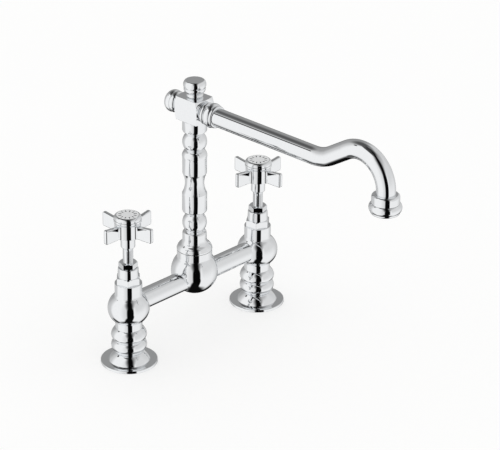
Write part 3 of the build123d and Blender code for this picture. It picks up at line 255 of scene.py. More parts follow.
def turnedBar(bm, outline, place, start, end, startCone=None, endCone=None, bore=0.0):
    # a bar of this cross section whose ends are turned to a cone: (radius of the flat end, length per radius)
    columns = []
    for point in outline:
        radius = point.length
        direction = point.normalized()
        rows = []
        if bore:
            rows.append((bore, start))
        if startCone:
            cut = max(0.0, radius - startCone[0]) * startCone[1]
            rows += [(min(radius, startCone[0]), start), (radius, start + cut)]
        else:
            rows.append((radius, start))
        if endCone:
            cut = max(0.0, radius - endCone[0]) * endCone[1]
            rows += [(radius, end - cut), (min(radius, endCone[0]), end)]
        else:
            rows.append((radius, end))
        if bore:
            rows.append((bore, end))
        spots = [Vector((direction.x * r, direction.y * r, h)) for r, h in rows]
        columns.append([bm.verts.new(place @ spot) for spot in spots])
    count = len(columns)
    rowCount = len(columns[0])
    for i in range(count):
        j = (i + 1) % count
        for k in range(rowCount - (0 if bore else 1)):
            m = (k + 1) % rowCount
            bm.faces.new((columns[i][k], columns[j][k], columns[j][m], columns[i][m]))
    if not bore:
        bm.faces.new([column[0] for column in columns])
        bm.faces.new([column[-1] for column in columns])


def makeObject(name, bm, sharpFrom=30.0):
    # closes the mesh, turns its faces outwards and shades it smooth up to its real edges
    bmesh.ops.remove_doubles(bm, verts=bm.verts, dist=2e-6)
    bmesh.ops.dissolve_degenerate(bm, edges=bm.edges, dist=1e-6)
    bmesh.ops.recalc_face_normals(bm, faces=bm.faces)
    mesh = bpy.data.meshes.new(name)
    bm.to_mesh(mesh)
    bm.free()
    mesh.polygons.foreach_set("use_smooth", [True] * len(mesh.polygons))
    mesh.set_sharp_from_angle(angle=math.radians(sharpFrom))
    piece = bpy.data.objects.new(name, mesh)
    scene.collection.objects.link(piece)
    return piece


def startGroup(name, given, result):
    # a geometry node group with these named inputs and one output
    tree = bpy.data.node_groups.new(name, "GeometryNodeTree")
    tree.is_modifier = True
    for socketName, kind in given.items():
        tree.interface.new_socket(name=socketName, in_out="INPUT", socket_type="NodeSocket" + kind)
    tree.interface.new_socket(name=result, in_out="OUTPUT", socket_type="NodeSocketGeometry")
    return tree, addNode(tree, "NodeGroupInput").outputs


def endGroup(tree, last, surface, result):
    painted = addNode(tree, "GeometryNodeSetMaterial", inputs={"Geometry": last, "Material": surface})
    addNode(tree, "NodeGroupOutput", inputs={result: painted})
    return tree


def grouped(source, name, tree, values):
    # what a node group makes of an object with these values, as a mesh of its own
    modifier = source.modifiers.new(tree.name, "NODES")
    modifier.node_group = tree
    for socket in tree.interface.items_tree:
        if socket.name in values:
            modifier[socket.identifier] = values[socket.name]
    evaluated = source.evaluated_get(bpy.context.evaluated_depsgraph_get())
    mesh = bpy.data.meshes.new_from_object(evaluated)
    mesh.name = name
    bpy.data.objects.remove(source)
    piece = bpy.data.objects.new(name, mesh)
    scene.collection.objects.link(piece)
    return piece


def place(x=0.0, y=0.0, z=0.0, axis=(0, 0, 1)):
    # millimetres to metres, with the local Z axis turned to the piece's own axis
    turn = Vector((0, 0, 1)).rotation_difference(Vector(axis)).to_matrix().to_4x4()
    return Matrix.Scale(millimetre, 4) @ Matrix.Translation((x, y, z)) @ turn


def settle(piece, body, slot, material, *nodes):
    # a finished piece: its surface, the body it moves with and the CAD nodes it stands for
    piece.data.materials.clear()
    piece.data.materials.append(material)
    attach(piece, body)
    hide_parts(*nodes)
    return piece


# Surfaces

# Chrome plate over polished brass, buffed to a mirror: the eye gets clean reflections with a very slight
# wave from hand polishing, and a breath of haze that breaks the highlights up.
chrome = {"colour": "#F5F6F7", "hazeColour": "#EEF0F2", "roughness": 0.012, "haze": 0.012, "hazeSize": 2.5,
          "hazeFrom": 0.35, "hazeTo": 0.75, "waveSize": 9.0, "waveDepth": 0.003}


def startSurface(name, metallic):
    material = bpy.data.materials.new(name)
    material.use_nodes = True
    material.node_tree.nodes["Principled BSDF"].inputs["Metallic"].default_value = metallic
    return material


def grain(tree, size, detail, stretch=(1, 1, 1)):
    # noise at its real size on the piece
    coords = addNode(tree, "ShaderNodeTexCoord").outputs["Object"]
    vector = addNode(tree, "ShaderNodeMapping", inputs={"Vector": coords, "Scale": stretch}).outputs["Vector"]
    inputs = {"Vector": vector, "Scale": 1000 / size, "Detail": detail}
    return addNode(tree, "ShaderNodeTexNoise", inputs=inputs).outputs["Fac"]


def finishSurface(tree, tintBy, colours, gloss, heightBy, strength, depth):
    # two close colours, uneven gloss and a small bump
    colours = {"A": linearColour(colours[0]), "B": linearColour(colours[1])}
    tint = addNode(tree, "ShaderNodeMix", {"data_type": "RGBA"}, {"Factor": tintBy, **colours})
    glossMap = addNode(tree, "ShaderNodeMapRange", inputs={"Value": tintBy, **gloss})
    size = {"Strength": strength, "Distance": depth * millimetre}
    bump = addNode(tree, "ShaderNodeBump", inputs={"Height": heightBy, **size})
    shader = tree.nodes["Principled BSDF"].inputs
    tree.links.new(tint.outputs["Result"], shader["Base Color"])
    tree.links.new(glossMap.outputs["Result"], shader["Roughness"])
    tree.links.new(bump.outputs["Normal"], shader["Normal"])


def polishedChromePlate():
    material = startSurface("chromePlateOnBrassMirrorPolished", 1.0)
    tree = material.node_tree
    wave = grain(tree, chrome["waveSize"], 2.0)
    haze = grain(tree, chrome["hazeSize"], 6.0)
    gloss = {
        "From Min": chrome["hazeFrom"],
        "From Max": chrome["hazeTo"],
        "To Min": chrome["roughness"],
        "To Max": chrome["roughness"] + chrome["haze"],
    }
    colours = (chrome["colour"], chrome["hazeColour"])
    finishSurface(tree, haze, colours, gloss, wave, 1.0, chrome["waveDepth"])
    return material


def grainedSurface(
    name, colour, darker, roughness, spread, grainSize, depth, metallic=0.0, stretch=(1, 1, 1)
):
    # a surface whose fine grain gives its colour, gloss and bump together
    material = startSurface(name, metallic)
    tree = material.node_tree
    fleck = grain(tree, grainSize, 5.0, stretch)
    gloss = {"To Min": roughness - spread, "To Max": roughness + spread}
    finishSurface(tree, fleck, (colour, darker), gloss, fleck, 0.6, depth)
    return material


surfaces = {
    "polished_chrome": polishedChromePlate(),
    # EPDM rubber, moulded: near black, dull, with the fine skin of the mould
    "black_rubber": grainedSurface("epdmRubberMoulded", "#1C1C1D", "#141415", 0.62, 0.06, 0.4, 0.02),
    # vulcanised fibre, punched from sheet: red-brown with a flecked, slightly fuzzy face
    "fibre": grainedSurface("vulcanisedFibrePunched", "#8A4A3C", "#6E382E", 0.72, 0.08, 0.6, 0.03),
    # alumina ceramic, lapped: warm white, smooth and faintly glossy
    "ceramic": grainedSurface("aluminaCeramicLapped", "#F1EEE6", "#E8E4DA", 0.22, 0.04, 0.25, 0.002),
    # acetal, turned: milky white with a waxy gloss and faint tool rings
    "acetal": grainedSurface("acetalTurned", "#ECECE4", "#E2E2D9", 0.4, 0.05, 0.5, 0.006, stretch=(1, 1, 6)),
    # stainless steel, turned and tumbled: grey metal with fine rings that spread its highlights
    "stainless_steel": grainedSurface(
        "stainlessSteelTurned", "#C9CACC", "#B4B5B8", 0.28, 0.05, 0.3, 0.004, metallic=1.0, stretch=(1, 1, 8)
    ),
    # light grey acetal, moulded: even colour with a soft sheen and the mould's very fine texture
    "aerator_plastic": grainedSurface("greyAcetalMoulded", "#DDDFE0", "#D2D4D6", 0.42, 0.05, 0.3, 0.006),
}
# chrome blasted to a satin under clear lacquer on the caps' faces: pale and even, so that the ticks stand out
satinFace = grainedSurface(
    "chromeBlastedUnderLacquer", "#F3F4F4", "#ECEDEE", 0.4, 0.05, 0.35, 0.004, metallic=0.27
)
# black enamel in the engraved ticks of the caps: matt, with uneven filling
blackEnamel = grainedSurface("blackEnamelFilled", "#1A1A1C", "#2A2A2C", 0.5, 0.08, 0.5, 0.01)

for node in frame["nodes"].values():
    slotName = node.data.materials[0].name.split(".")[0]
    node.data.materials.clear()
    node.data.materials.append(surfaces[slotName])
mirror = surfaces["polished_chrome"]
print("surfaces made:", len(surfaces) + 2)


def chromePiece(name, bm, body, node):
    # a mirror-bright piece that stands for one CAD node
    return settle(makeObject(name, bm), body, "polished_chrome", mirror, node)


def turnedPiece(name, outline, where, body, node, edge=0.25, segments=128):
    bm = bmesh.new()
    turned(bm, softened(outline, edge), where, segments)
    return chromePiece(name, bm, body, node)


# The two pillars

# clearance between pieces that screw into each other, and how far the shells of one piece lap
fits = {"gap": 0.05, "lap": 0.2}

flange = {"radius": 30.8, "thickness": 3.0, "edge": 0.8, "bellFoot": 22.4, "bellTop": 15.2, "bellBulge": 0.6,
          "bore": 12.6, "grooveInner": 19.9, "grooveOuter": 26.1, "grooveDepth": 1.8}
leg = {"thread": 9.3, "threadDepth": 14.0, "waterway": 6.0, "spigot": 12.5, "foot": 14.4, "ring": 19.35,
       "groove": 15.3, "neck": 14.5, "bulge": 1.1, "footZ": 12.4, "lowerRingZ": 21.0, "grooveZ": 27.5,
       "upperRingZ": 33.4, "topZ": 41.6, "jointRadius": 9.0, "jointTopZ": 48.4}
bulb = {"radius": 22.6, "neck": 14.5, "neckZ": 49.5, "middleZ": 65.1, "collar": 14.75, "collarZ": 80.6,
        "topZ": 94.8, "blend": 4.0, "recess": 12.25, "recessZ": 91.8, "bore": 10.45, "boreFootZ": 58.0}
bonnet = {"flats": 24.0, "hexZ": 94.9, "hexTopZ": 102.9, "topZ": 113.4, "foot": 11.4, "top": 10.9,
          "edge": 1.4, "thread": 10.4, "flange": 12.15, "recessZ": 92.8, "footZ": 60.0, "bore": 8.65,
          "turn": {"hot": 45.0, "cold": 36.0}, "corner": 0.35, "chamfer": 30.0}
gland = {"flats": 18.0, "footZ": 113.8, "topZ": 119.5, "turn": 15.0, "bore": 5.56, "spigot": 8.6,
         "spigotLength": 6.6, "corner": 0.3, "chamfer": 30.0}
handle = {"turn": {"hot": 3.4, "cold": 0.0}, "reach": 35.2, "thickness": 5.2, "footReach": 15.4, "hub": 14.2,
          "hubBlend": 2.6, "hubTop": 11.5, "rootX": 10.0, "hubZ": 149.4, "footZ": 151.2, "tipFootZ": 151.9,
          "topZ": 165.6, "tipTopZ": 168.3, "corner": 2.5, "edge": 1.4, "endEdge": 2.4, "skirt": 7.8,
          "skirtZ": 137.1, "skirtEdge": 1.4, "skirtLap": 1.0, "bore": 5.55, "collar": 15.0, "collarZ": 167.8,
          "collarTopZ": 170.0, "collarUnder": 2.2, "collarLap": 0.5, "flareBulge": (-0.9, 0.15)}
cap = {"radius": 14.7, "flat": 11.6, "faceEdge": 0.4, "footZ": 170.1, "rim": 1.3, "height": 4.7, "plug": 6.9,
       "plugLength": 4.5}
capTicks = {"count": 12, "radius": 8.3, "length": 3.2, "width": 1.1, "height": 0.12, "bevel": 0.05}


def alongSlope(x, startX, startZ, endX, endZ):
    return startZ + (x - startX) / (endX - startX) * (endZ - startZ)


def roundLoss(x, endX, radius):
    # how far an outline has drawn in at x where its end is rounded with this radius
    inside = endX - radius
    return 0.0 if x <= inside else radius - math.sqrt(max(0.0, radius**2 - (x - inside) ** 2))


def crossPaddle():
    # one paddle of the cross, along +X from inside the round hub, with the small hollow where it leaves it
    hollowSteps, sideSteps, cornerSteps, edgeSteps = 12, 6, 10, 6
    half = handle["thickness"] / 2
    blend = handle["hubBlend"]
    blendAngle = math.asin((half + blend) / (handle["hub"] + blend))
    blendX = (handle["hub"] + blend) * math.cos(blendAngle)
    cornerX = handle["reach"] - handle["corner"]
    stations = [(handle["rootX"], handle["hub"] * math.sin(blendAngle))]
    for k in range(hollowSteps + 1):
        angle = math.pi + blendAngle + (math.pi / 2 - blendAngle) * k / hollowSteps
        stations.append((blendX + blend * math.cos(angle), half + blend + blend * math.sin(angle)))
    for k in range(1, sideSteps + 1):
        stations.append((alongSlope(k, 0, blendX, sideSteps, cornerX - 2 * fits["lap"]), half))
    for k in range(cornerSteps + 1):
        x = cornerX + handle["corner"] * math.sin(math.radians(90 * k / cornerSteps))
        stations.append((x, half - roundLoss(x, handle["reach"], handle["endEdge"])))
    bm = bmesh.new()
    quarter = [math.radians(90 * k / edgeSteps) for k in range(edgeSteps + 1)]
    previous = None
    for x, halfWidth in stations:
        low = alongSlope(x, handle["footReach"], handle["footZ"], handle["reach"], handle["tipFootZ"])
        if x < handle["footReach"]:
            low = alongSlope(x, handle["skirt"], handle["hubZ"], handle["footReach"], handle["footZ"])
        high = handle["topZ"]
        if x > handle["collar"]:
            high = alongSlope(x, handle["collar"], handle["topZ"], handle["reach"], handle["tipTopZ"])
        low += roundLoss(x, handle["reach"], handle["corner"])
        high -= roundLoss(x, handle["reach"], handle["corner"])
        wall = min(handle["edge"], halfWidth)
        profile = [(halfWidth - wall * (1 - math.cos(a)), wall * (1 - math.sin(a))) for a in quarter]
        across = [(-y, inset) for y, inset in profile] + [(y, inset) for y, inset in reversed(profile)]
        ring = [bm.verts.new((x, y, low + inset)) for y, inset in across]
        ring += [bm.verts.new((x, y, high - inset)) for y, inset in reversed(across)]
        if previous:
            for k in range(len(ring)):
                bm.faces.new((previous[k - 1], ring[k - 1], ring[k], previous[k]))
        else:
            bm.faces.new(ring)
        previous = ring
    bm.faces.new(previous)
    mesh = bpy.data.meshes.new("paddle")
    bm.to_mesh(mesh)
    bm.free()
    return mesh


def repeatAroundTree():
    # copies of a mesh round the Z axis, realized and welded where they meet
    given = {
        "Piece": "Geometry", "Count": "Int", "First Angle": "Float", "Weld Distance": "Float",
        "Surface": "Material",
    }
    tree, given = startGroup("repeatAround", given, "Ring")
    step = calculated(tree, "DIVIDE", math.tau, given["Count"])
    index = addNode(tree, "GeometryNodeInputIndex").outputs["Index"]
    angle = calculated(tree, "MULTIPLY_ADD", index, step, given["First Angle"])
    turn = addNode(tree, "ShaderNodeCombineXYZ", inputs={"Z": angle})
    points = addNode(tree, "GeometryNodePoints", inputs={"Count": given["Count"]})
    inputs = {"Points": points, "Instance": given["Piece"], "Rotation": turn}
    copies = addNode(tree, "GeometryNodeInstanceOnPoints", inputs=inputs)
    real = addNode(tree, "GeometryNodeRealizeInstances", inputs={"Geometry": copies})
    inputs = {"Geometry": real, "Distance": given["Weld Distance"]}
    welded = addNode(tree, "GeometryNodeMergeByDistance", inputs=inputs)
    return endGroup(tree, welded, given["Surface"], "Ring")


ringTree = repeatAroundTree()


def repeatAround(mesh, name, count, firstAngle, surface):
    source = bpy.data.objects.new(name, mesh)
    scene.collection.objects.link(source)
    values = {"Count": count, "First Angle": firstAngle, "Weld Distance": 0.01, "Surface": surface}
    return grouped(source, name, ringTree, values)


def hexCorners(flats, turn):
    radius = flats / 2 / math.cos(math.radians(30))
    angles = [math.radians(turn + 60 * k) for k in range(6)]
    return [(radius * math.cos(a), radius * math.sin(a)) for a in angles]


def onPillar(side):
    low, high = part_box(f"{side}_base_flange")
    return place((low.x + high.x) / 2 / millimetre, (low.y + high.y) / 2 / millimetre)


def makeFlange(side):
    bell = bulged(
        (flange["bellFoot"], flange["thickness"]),
        (flange["bellTop"], leg["footZ"]),
        flange["bellBulge"],
        flange["bellBulge"],
    )
    outline = joined(
        (flange["bore"], 0),
        (flange["grooveInner"], 0),
        named(flange, "grooveInner,grooveDepth grooveOuter,grooveDepth"),
        (flange["grooveOuter"], 0),
        (flange["radius"], 0),
        (flange["radius"], flange["thickness"], flange["edge"]),
        bell,
        (flange["bore"], leg["footZ"]),
    )
    turnedPiece(f"{side}_flangeAndBell", outline, onPillar(side), "mixer_body", f"{side}_base_flange")


def makeLeg(side):
    crests = named(leg, "foot,footZ ring,lowerRingZ groove,grooveZ ring,upperRingZ neck,topZ")
    outline = joined(
        (leg["thread"], 0),
        (leg["spigot"], 0),
        (leg["spigot"], leg["footZ"]),
        *[bulged(start, end, leg["bulge"]) for start, end in zip(crests, crests[1:])],
        named(leg, "jointRadius,topZ jointRadius,jointTopZ waterway,jointTopZ"),
        (leg["waterway"], leg["threadDepth"] + leg["thread"] - leg["waterway"]),
        (leg["thread"], leg["threadDepth"]),
    )
    turnedPiece(f"{side}_turnedLeg", outline, onPillar(side), "mixer_body", f"{side}_leg")


def makeValveBody(side):
    ball = arcThrough(
        (bulb["neck"], bulb["neckZ"]), (bulb["radius"], bulb["middleZ"]), (bulb["collar"], bulb["collarZ"])
    )
    ball[-1] = (*ball[-1], bulb["blend"])
    outline = joined(
        (leg["jointRadius"] + fits["gap"], leg["topZ"]),
        (bulb["neck"], leg["topZ"]),
        ball,
        named(bulb, "collar,topZ recess,topZ recess,recessZ bore,recessZ bore,boreFootZ"),
        (leg["jointRadius"] + fits["gap"], bulb["boreFootZ"]),
    )
    turnedPiece(f"{side}_valveBulb", outline, onPillar(side), "mixer_body", f"{side}_valve_body")


def addHexagon(bm, side, size, turn, perSide, footZ, topZ, bore):
    # a hexagon bar with small round corners, chamfered on top and hollow
    hexagon = softOutline(hexCorners(size["flats"], turn), size["corner"], perSide)
    cone = (size["flats"] / 2, math.tan(math.radians(size["chamfer"])))
    turnedBar(bm, hexagon, onPillar(side), footZ, topZ, endCone=cone, bore=bore)


def makeHeadwork(side):
    bm = bmesh.new()
    outline = joined(
        named(bonnet, "bore,footZ thread,footZ thread,recessZ flange,recessZ"),
        (bonnet["flange"], bonnet["hexZ"] + fits["lap"]),
        (bonnet["foot"], bonnet["hexZ"] + fits["lap"]),
        (bonnet["foot"], bonnet["hexTopZ"]),
        (bonnet["top"], bonnet["topZ"], bonnet["edge"]),
        (bonnet["bore"], bonnet["topZ"]),
    )
    turned(bm, softened(outline), onPillar(side))
    inner = bonnet["foot"] - fits["lap"] / 2
    addHexagon(bm, side, bonnet, bonnet["turn"][side], 10, bonnet["hexZ"], bonnet["hexTopZ"], inner)
    chromePiece(f"{side}_bonnetHexagon", bm, "mixer_body", f"{side}_bonnet")

    bm = bmesh.new()
    addHexagon(bm, side, gland, gland["turn"], 8, gland["footZ"], gland["topZ"], gland["bore"])
    spigot = [
        (gland["bore"], gland["footZ"] - gland["spigotLength"]),
        (gland["spigot"], gland["footZ"] - gland["spigotLength"]),
        (gland["spigot"], gland["footZ"] + fits["lap"]),
        (gland["bore"], gland["footZ"] + fits["lap"]),
    ]
    turned(bm, softened(spigot), onPillar(side), 64)
    chromePiece(f"{side}_glandNut", bm, "mixer_body", f"{side}_gland_nut")


def smoothCopy(node, name, body, slot):
    # the CAD solid itself, its triangles merged and shaded smooth up to its real edges
    bm = bmesh.new()
    bm.from_mesh(frame["nodes"][node].data)
    piece = makeObject(name, bm)
    return settle(piece, body, slot, surfaces[slot], node)


def makeHandle(side):
    body = f"{side}_handle"
    turn = math.radians(handle["turn"][side])
    cross = repeatAround(crossPaddle(), "paddles", 4, turn, mirror)
    bm = bmesh.new()
    bm.from_mesh(cross.data)
    bpy.data.objects.remove(cross)
    bmesh.ops.transform(bm, matrix=onPillar(side), verts=bm.verts)
    skirt = [
        (handle["bore"], handle["skirtZ"]),
        (handle["skirt"], handle["skirtZ"], handle["skirtEdge"]),
        (handle["skirt"], handle["hubZ"] + handle["skirtLap"]),
        (handle["bore"], handle["hubZ"] + handle["skirtLap"]),
    ]
    root = (handle["footReach"], handle["footZ"])
    hubFootZ = alongSlope(handle["hub"], handle["skirt"], handle["hubZ"], *root)
    hubTopZ = alongSlope(
        handle["hub"], handle["hubTop"], handle["collarZ"], handle["footReach"], handle["topZ"]
    )
    bore = cap["plug"] + fits["gap"]
    hub = [
        (bore, handle["hubZ"]),
        (handle["skirt"], handle["hubZ"]),
        (handle["hub"], hubFootZ),
        (handle["hub"], hubTopZ),
        (handle["hubTop"], handle["collarZ"]),
        (bore, handle["collarZ"]),
    ]
    underZ = handle["collarZ"] - handle["collarUnder"]
    collar = joined(
        (bore, underZ - handle["collarLap"]),
        (handle["skirt"], underZ - handle["collarLap"]),
        bulged((handle["skirt"], underZ), (handle["collar"], handle["collarZ"]), *handle["flareBulge"]),
        (handle["collar"], handle["collarTopZ"]),
        (bore, handle["collarTopZ"]),
    )
    for outline in (skirt, hub, collar):
        turned(bm, softened(outline), onPillar(side))
    chromePiece(f"{side}_crossHandle", bm, body, f"{side}_cross_handle")

    rimZ = cap["footZ"] + cap["rim"]
    rise = cap["height"] - cap["rim"]
    topZ = cap["footZ"] + cap["height"]
    dome = []
    domeSteps = 16
    for k in range(domeSteps + 1):
        angle = math.radians(90 * k / domeSteps)
        radius = cap["flat"] + (cap["radius"] - cap["flat"]) * math.cos(angle)
        dome.append((radius, rimZ + rise * math.sin(angle)))
    outline = joined(
        (0, cap["footZ"] - cap["plugLength"]),
        (cap["plug"], cap["footZ"] - cap["plugLength"]),
        named(cap, "plug,footZ radius,footZ"),
        dome,
        (cap["flat"] - cap["faceEdge"], topZ),
        (0, topZ),
    )
    piece = turnedPiece(
        f"{side}_domedCap", outline, onPillar(side), body, f"{side}_handle_cap", segments=96
    )
    piece.data.materials.append(satinFace)
    faceZ = (topZ - 0.01) * millimetre
    for polygon in piece.data.polygons:
        if polygon.center.z > faceZ and polygon.normal.z > 0.99:
            polygon.material_index = 1

    bm = bmesh.new()
    bmesh.ops.create_cube(bm, size=1.0)
    sizes = Matrix.Diagonal((capTicks["length"], capTicks["width"], capTicks["height"], 1))
    shift = Matrix.Translation((capTicks["radius"], 0, 0))
    bmesh.ops.transform(bm, matrix=shift @ sizes, verts=bm.verts)
    bmesh.ops.bevel(bm, geom=bm.edges, offset=capTicks["bevel"], segments=1, affect="EDGES")
    mesh = bpy.data.meshes.new("tick")
    bm.to_mesh(mesh)
    bm.free()
    ticks = repeatAround(mesh, f"{side}_capTicks", capTicks["count"], 0.0, blackEnamel)
    ticks.data.transform(onPillar(side) @ Matrix.Translation((0, 0, topZ)))
    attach(ticks, body)


for side in ("hot", "cold"):
    makeFlange(side)
    makeLeg(side)
    makeValveBody(side)
    makeHeadwork(side)
    makeHandle(side)
    smoothCopy(f"{side}_spindle", f"{side}_spindleStem", f"{side}_handle", "polished_chrome")
print("pillars and handles made")

# Bridge and centre body

bridge = {"radius": 11.0, "bore": 9.3, "startX": 13.0, "endX": 87.8, "z": 67.1}
centre = {"radius": 25.8, "z": 74.3, "collar": 19.2, "topZ": 100.2, "blend": 3.0, "socket": 12.06,
          "socketZ": 80.7, "recessInner": 13.4, "recessOuter": 17.6, "recessDepth": 1.0}

for side, direction in (("hot", -1), ("cold", 1)):
    outline = named(bridge, "bore,startX radius,startX radius,endX bore,endX")
    where = place(0, 0, bridge["z"], (direction, 0, 0))
    turnedPiece(f"{side}_bridgeTube", outline, where, "mixer_body", f"{side}_bridge_tube")

shoulderZ = centre["z"] + math.sqrt(centre["radius"] ** 2 - centre["collar"] ** 2)
ball = arcThrough(
    (0, centre["z"] - centre["radius"]), (centre["radius"], centre["z"]), (centre["collar"], shoulderZ)
)
ball[-1] = (*ball[-1], centre["blend"])
recessZ = centre["topZ"] - centre["recessDepth"]
outline = joined(
    ball,
    named(centre, "collar,topZ recessOuter,topZ"),
    (centre["recessOuter"], recessZ),
    (centre["recessInner"], recessZ),
    named(centre, "recessInner,topZ socket,topZ socket,socketZ"),
    (0, centre["socketZ"]),
)
turnedPiece("centreBall", outline, place(), "mixer_body", "centre_body")
smoothCopy("grub_screw", "grubScrew", "mixer_body", "stainless_steel")
print("bridge made")

# Column, block and finials, which turn with the spout

column = {"waterway": 6.0, "spigot": 12.0, "spigotZ": 81.1, "footZ": 100.6, "collar": 19.2, "foot": 19.45,
          "bead": 19.0, "beadZ": 103.0, "flareMiddle": (17.825, 105.6), "flare": (16.025, 107.4),
          "throat": (14.0, 110.0), "neckZ": 113.6, "vase": 13.25, "vaseTopZ": 119.6,
          "vaseLip": (12.99, 120.7), "shoulder": (12.25, 121.7), "groove": 9.2,
          "lowerBallZ": 123.1, "lowerBallTopZ": 142.3, "ball": 13.3, "drumFootZ": 146.7, "lowerDrumZ": 147.7,
          "drumEdge": 0.35, "drum": 13.5, "lowerDrumTopZ": 167.6, "waist": 10.35, "waistTopZ": 191.6,
          "upperDrum": 13.2, "upperDrumTopZ": 209.1, "upperShoulder": 11.5, "upperShoulderZ": 217.3,
          "shoulderMiddle": 13.45, "upperBallZ": 218.7, "upperBallTopZ": 237.3, "neckFootZ": 240.7,
          "neckCollarZ": 241.7, "neckCollar": 13.3, "topZ": 253.2, "joint": 8.0, "jointTopZ": 259.6}
block = {"width": 26.4, "footZ": 253.2, "topZ": 279.8, "front": 15.8, "rear": 17.0, "face": 14.4,
         "coneRadius": 20.4, "coneLength": 3.1, "spoutZ": 265.8, "corner": 0.5}
finial = {"stem": 4.0, "stemLength": 5.5, "footZ": 0.0, "bead": 9.2, "beadFoot": 7.6, "beadHeight": 4.4,
          "cup": (10.7, 6.26), "band": 11.6, "bandEnd": 10.6, "line": 0.4, "headStart": 11.0,
          "head": (12.25, 14.12), "brow": (11.0, 17.9), "brink": (10.5, 18.5), "flat": 10.0, "headEnd": 18.8,
          "edge": 0.15}

outline = joined(
    named(column, "waterway,spigotZ spigot,spigotZ spigot,footZ"),
    swelled(column, "collar,footZ", "foot", "bead,beadZ"),
    arcThrough((column["bead"], column["beadZ"]), column["flareMiddle"], column["flare"]),
    arcThrough(column["flare"], column["throat"], (column["vase"], column["neckZ"])),
    (column["vase"], column["vaseTopZ"]),
    arcThrough((column["vase"], column["vaseTopZ"]), column["vaseLip"], column["shoulder"]),
    swelled(column, "groove,lowerBallZ", "ball", "groove,lowerBallTopZ"),
    (column["drum"] - column["drumEdge"], column["drumFootZ"]),
    (column["drum"], column["lowerDrumZ"]),
    swelled(column, "drum,lowerDrumTopZ", "waist", "upperDrum,waistTopZ"),
    swelled(column, "upperDrum,upperDrumTopZ", "shoulderMiddle", "upperShoulder,upperShoulderZ"),
    swelled(column, "groove,upperBallZ", "ball", "groove,upperBallTopZ"),
    (column["neckCollar"] - column["drumEdge"], column["neckFootZ"]),
    named(column, "neckCollar,neckCollarZ neckCollar,topZ joint,topZ joint,jointTopZ waterway,jointTopZ"),
)
turnedPiece("turnedColumn", outline, place(), "spout", "column")

bm = bmesh.new()
halfWidth = block["width"] / 2
barCorners = [
    (-halfWidth, block["footZ"] - block["spoutZ"]),
    (halfWidth, block["footZ"] - block["spoutZ"]),
    (halfWidth, block["topZ"] - block["spoutZ"]),
    (-halfWidth, block["topZ"] - block["spoutZ"]),
]
barPlace = Matrix.Scale(millimetre, 4) @ Matrix.Translation((0, 0, block["spoutZ"]))
barPlace = barPlace @ Matrix.Rotation(math.radians(90), 4, "X")
cone = (block["face"], block["coneLength"] / (block["coneRadius"] - block["face"]))
bar = softOutline(barCorners, block["corner"], 16)
turnedBar(bm, bar, barPlace, -block["rear"], block["front"], cone, cone)
chromePiece("teeBlock", bm, "spout", "tee_block")

for name, where in (
    ("top", place(0, 0, block["topZ"])),
    ("rear", place(0, block["rear"], block["spoutZ"], (0, 1, 0))),
):
    outline = joined(
        (0, -finial["stemLength"]),
        (finial["stem"], -finial["stemLength"]),
        (finial["stem"], finial["footZ"]),
        swelled(finial, "beadFoot,footZ", "bead", "beadFoot,beadHeight"),
        arcThrough(
            (finial["beadFoot"], finial["beadHeight"]), finial["cup"], (finial["band"], finial["bandEnd"])
        ),
        (finial["band"] - finial["line"], finial["bandEnd"] + finial["line"] / 2),
        arcThrough((finial["band"], finial["headStart"]), finial["head"], finial["brow"]),
        arcThrough(finial["brow"], finial["brink"], (finial["flat"], finial["headEnd"])),
        (0, finial["headEnd"]),
    )
    turnedPiece(f"{name}Finial", outline, where, "spout", f"{name}_finial", finial["edge"], 96)
print("column, block and finials made")

# Spout, its collar and its outlet

collar = {"bore": 6.5, "joint": 9.4, "jointLength": 6.0, "neck": 9.9, "neckEnd": 17.0, "ring": 12.2,
          "ringEnd": 21.8, "groove": 11.0, "bead": (13.4, 27.63), "crease": 11.6, "beadEnd": 31.2,
          "lip": 12.2, "mouth": 10.8, "lipEnd": 34.7, "edge": 0.15}
spout = {"radius": 10.0, "startY": 18.2, "straight": 170.6, "riseRadius": 46.7, "rise": 32.0,
         "riseStraight": 24.3, "dropRadius": 34.4, "dropStraight": 9.3, "sides": 96, "step": 1.5}
outlet = {"bore": 8.7, "spigotZ": 239.6, "spigot": 12.5, "footZ": 244.6, "band": 14.5, "ledge": 2.7,
          "shoulder": 0.78, "topZ": 254.0, "top": 11.9}
aerator = {"mouth": 11.3, "footZ": 233.3, "lip": 15.0, "lipEdge": 1.4, "lipZ": 235.8, "beadFoot": 15.4,
           "bead": (17.0, 240.6), "beadTop": 14.7, "topZ": 244.5, "bore": 12.55, "ledgeZ": 234.6, "edge": 0.2}

outline = joined(
    (collar["bore"], block["front"] - collar["jointLength"]),
    (collar["joint"], block["front"] - collar["jointLength"]),
    (collar["joint"], block["front"]),
    (collar["neck"], block["front"]),
    swelled(collar, "neck,neckEnd", "ring", "groove,ringEnd"),
    arcThrough(
        (collar["groove"], collar["ringEnd"]), collar["bead"], (collar["crease"], collar["beadEnd"])
    ),
    swelled(collar, "crease,beadEnd", "lip", "mouth,lipEnd"),
    (spout["radius"] + fits["gap"], collar["lipEnd"]),
    (spout["radius"] + fits["gap"], spout["startY"]),
    (collar["bore"], spout["startY"]),
)
where = place(0, 0, block["spoutZ"], (0, -1, 0))
turnedPiece("spoutCollar", outline, where, "spout", "spout_collar", collar["edge"])


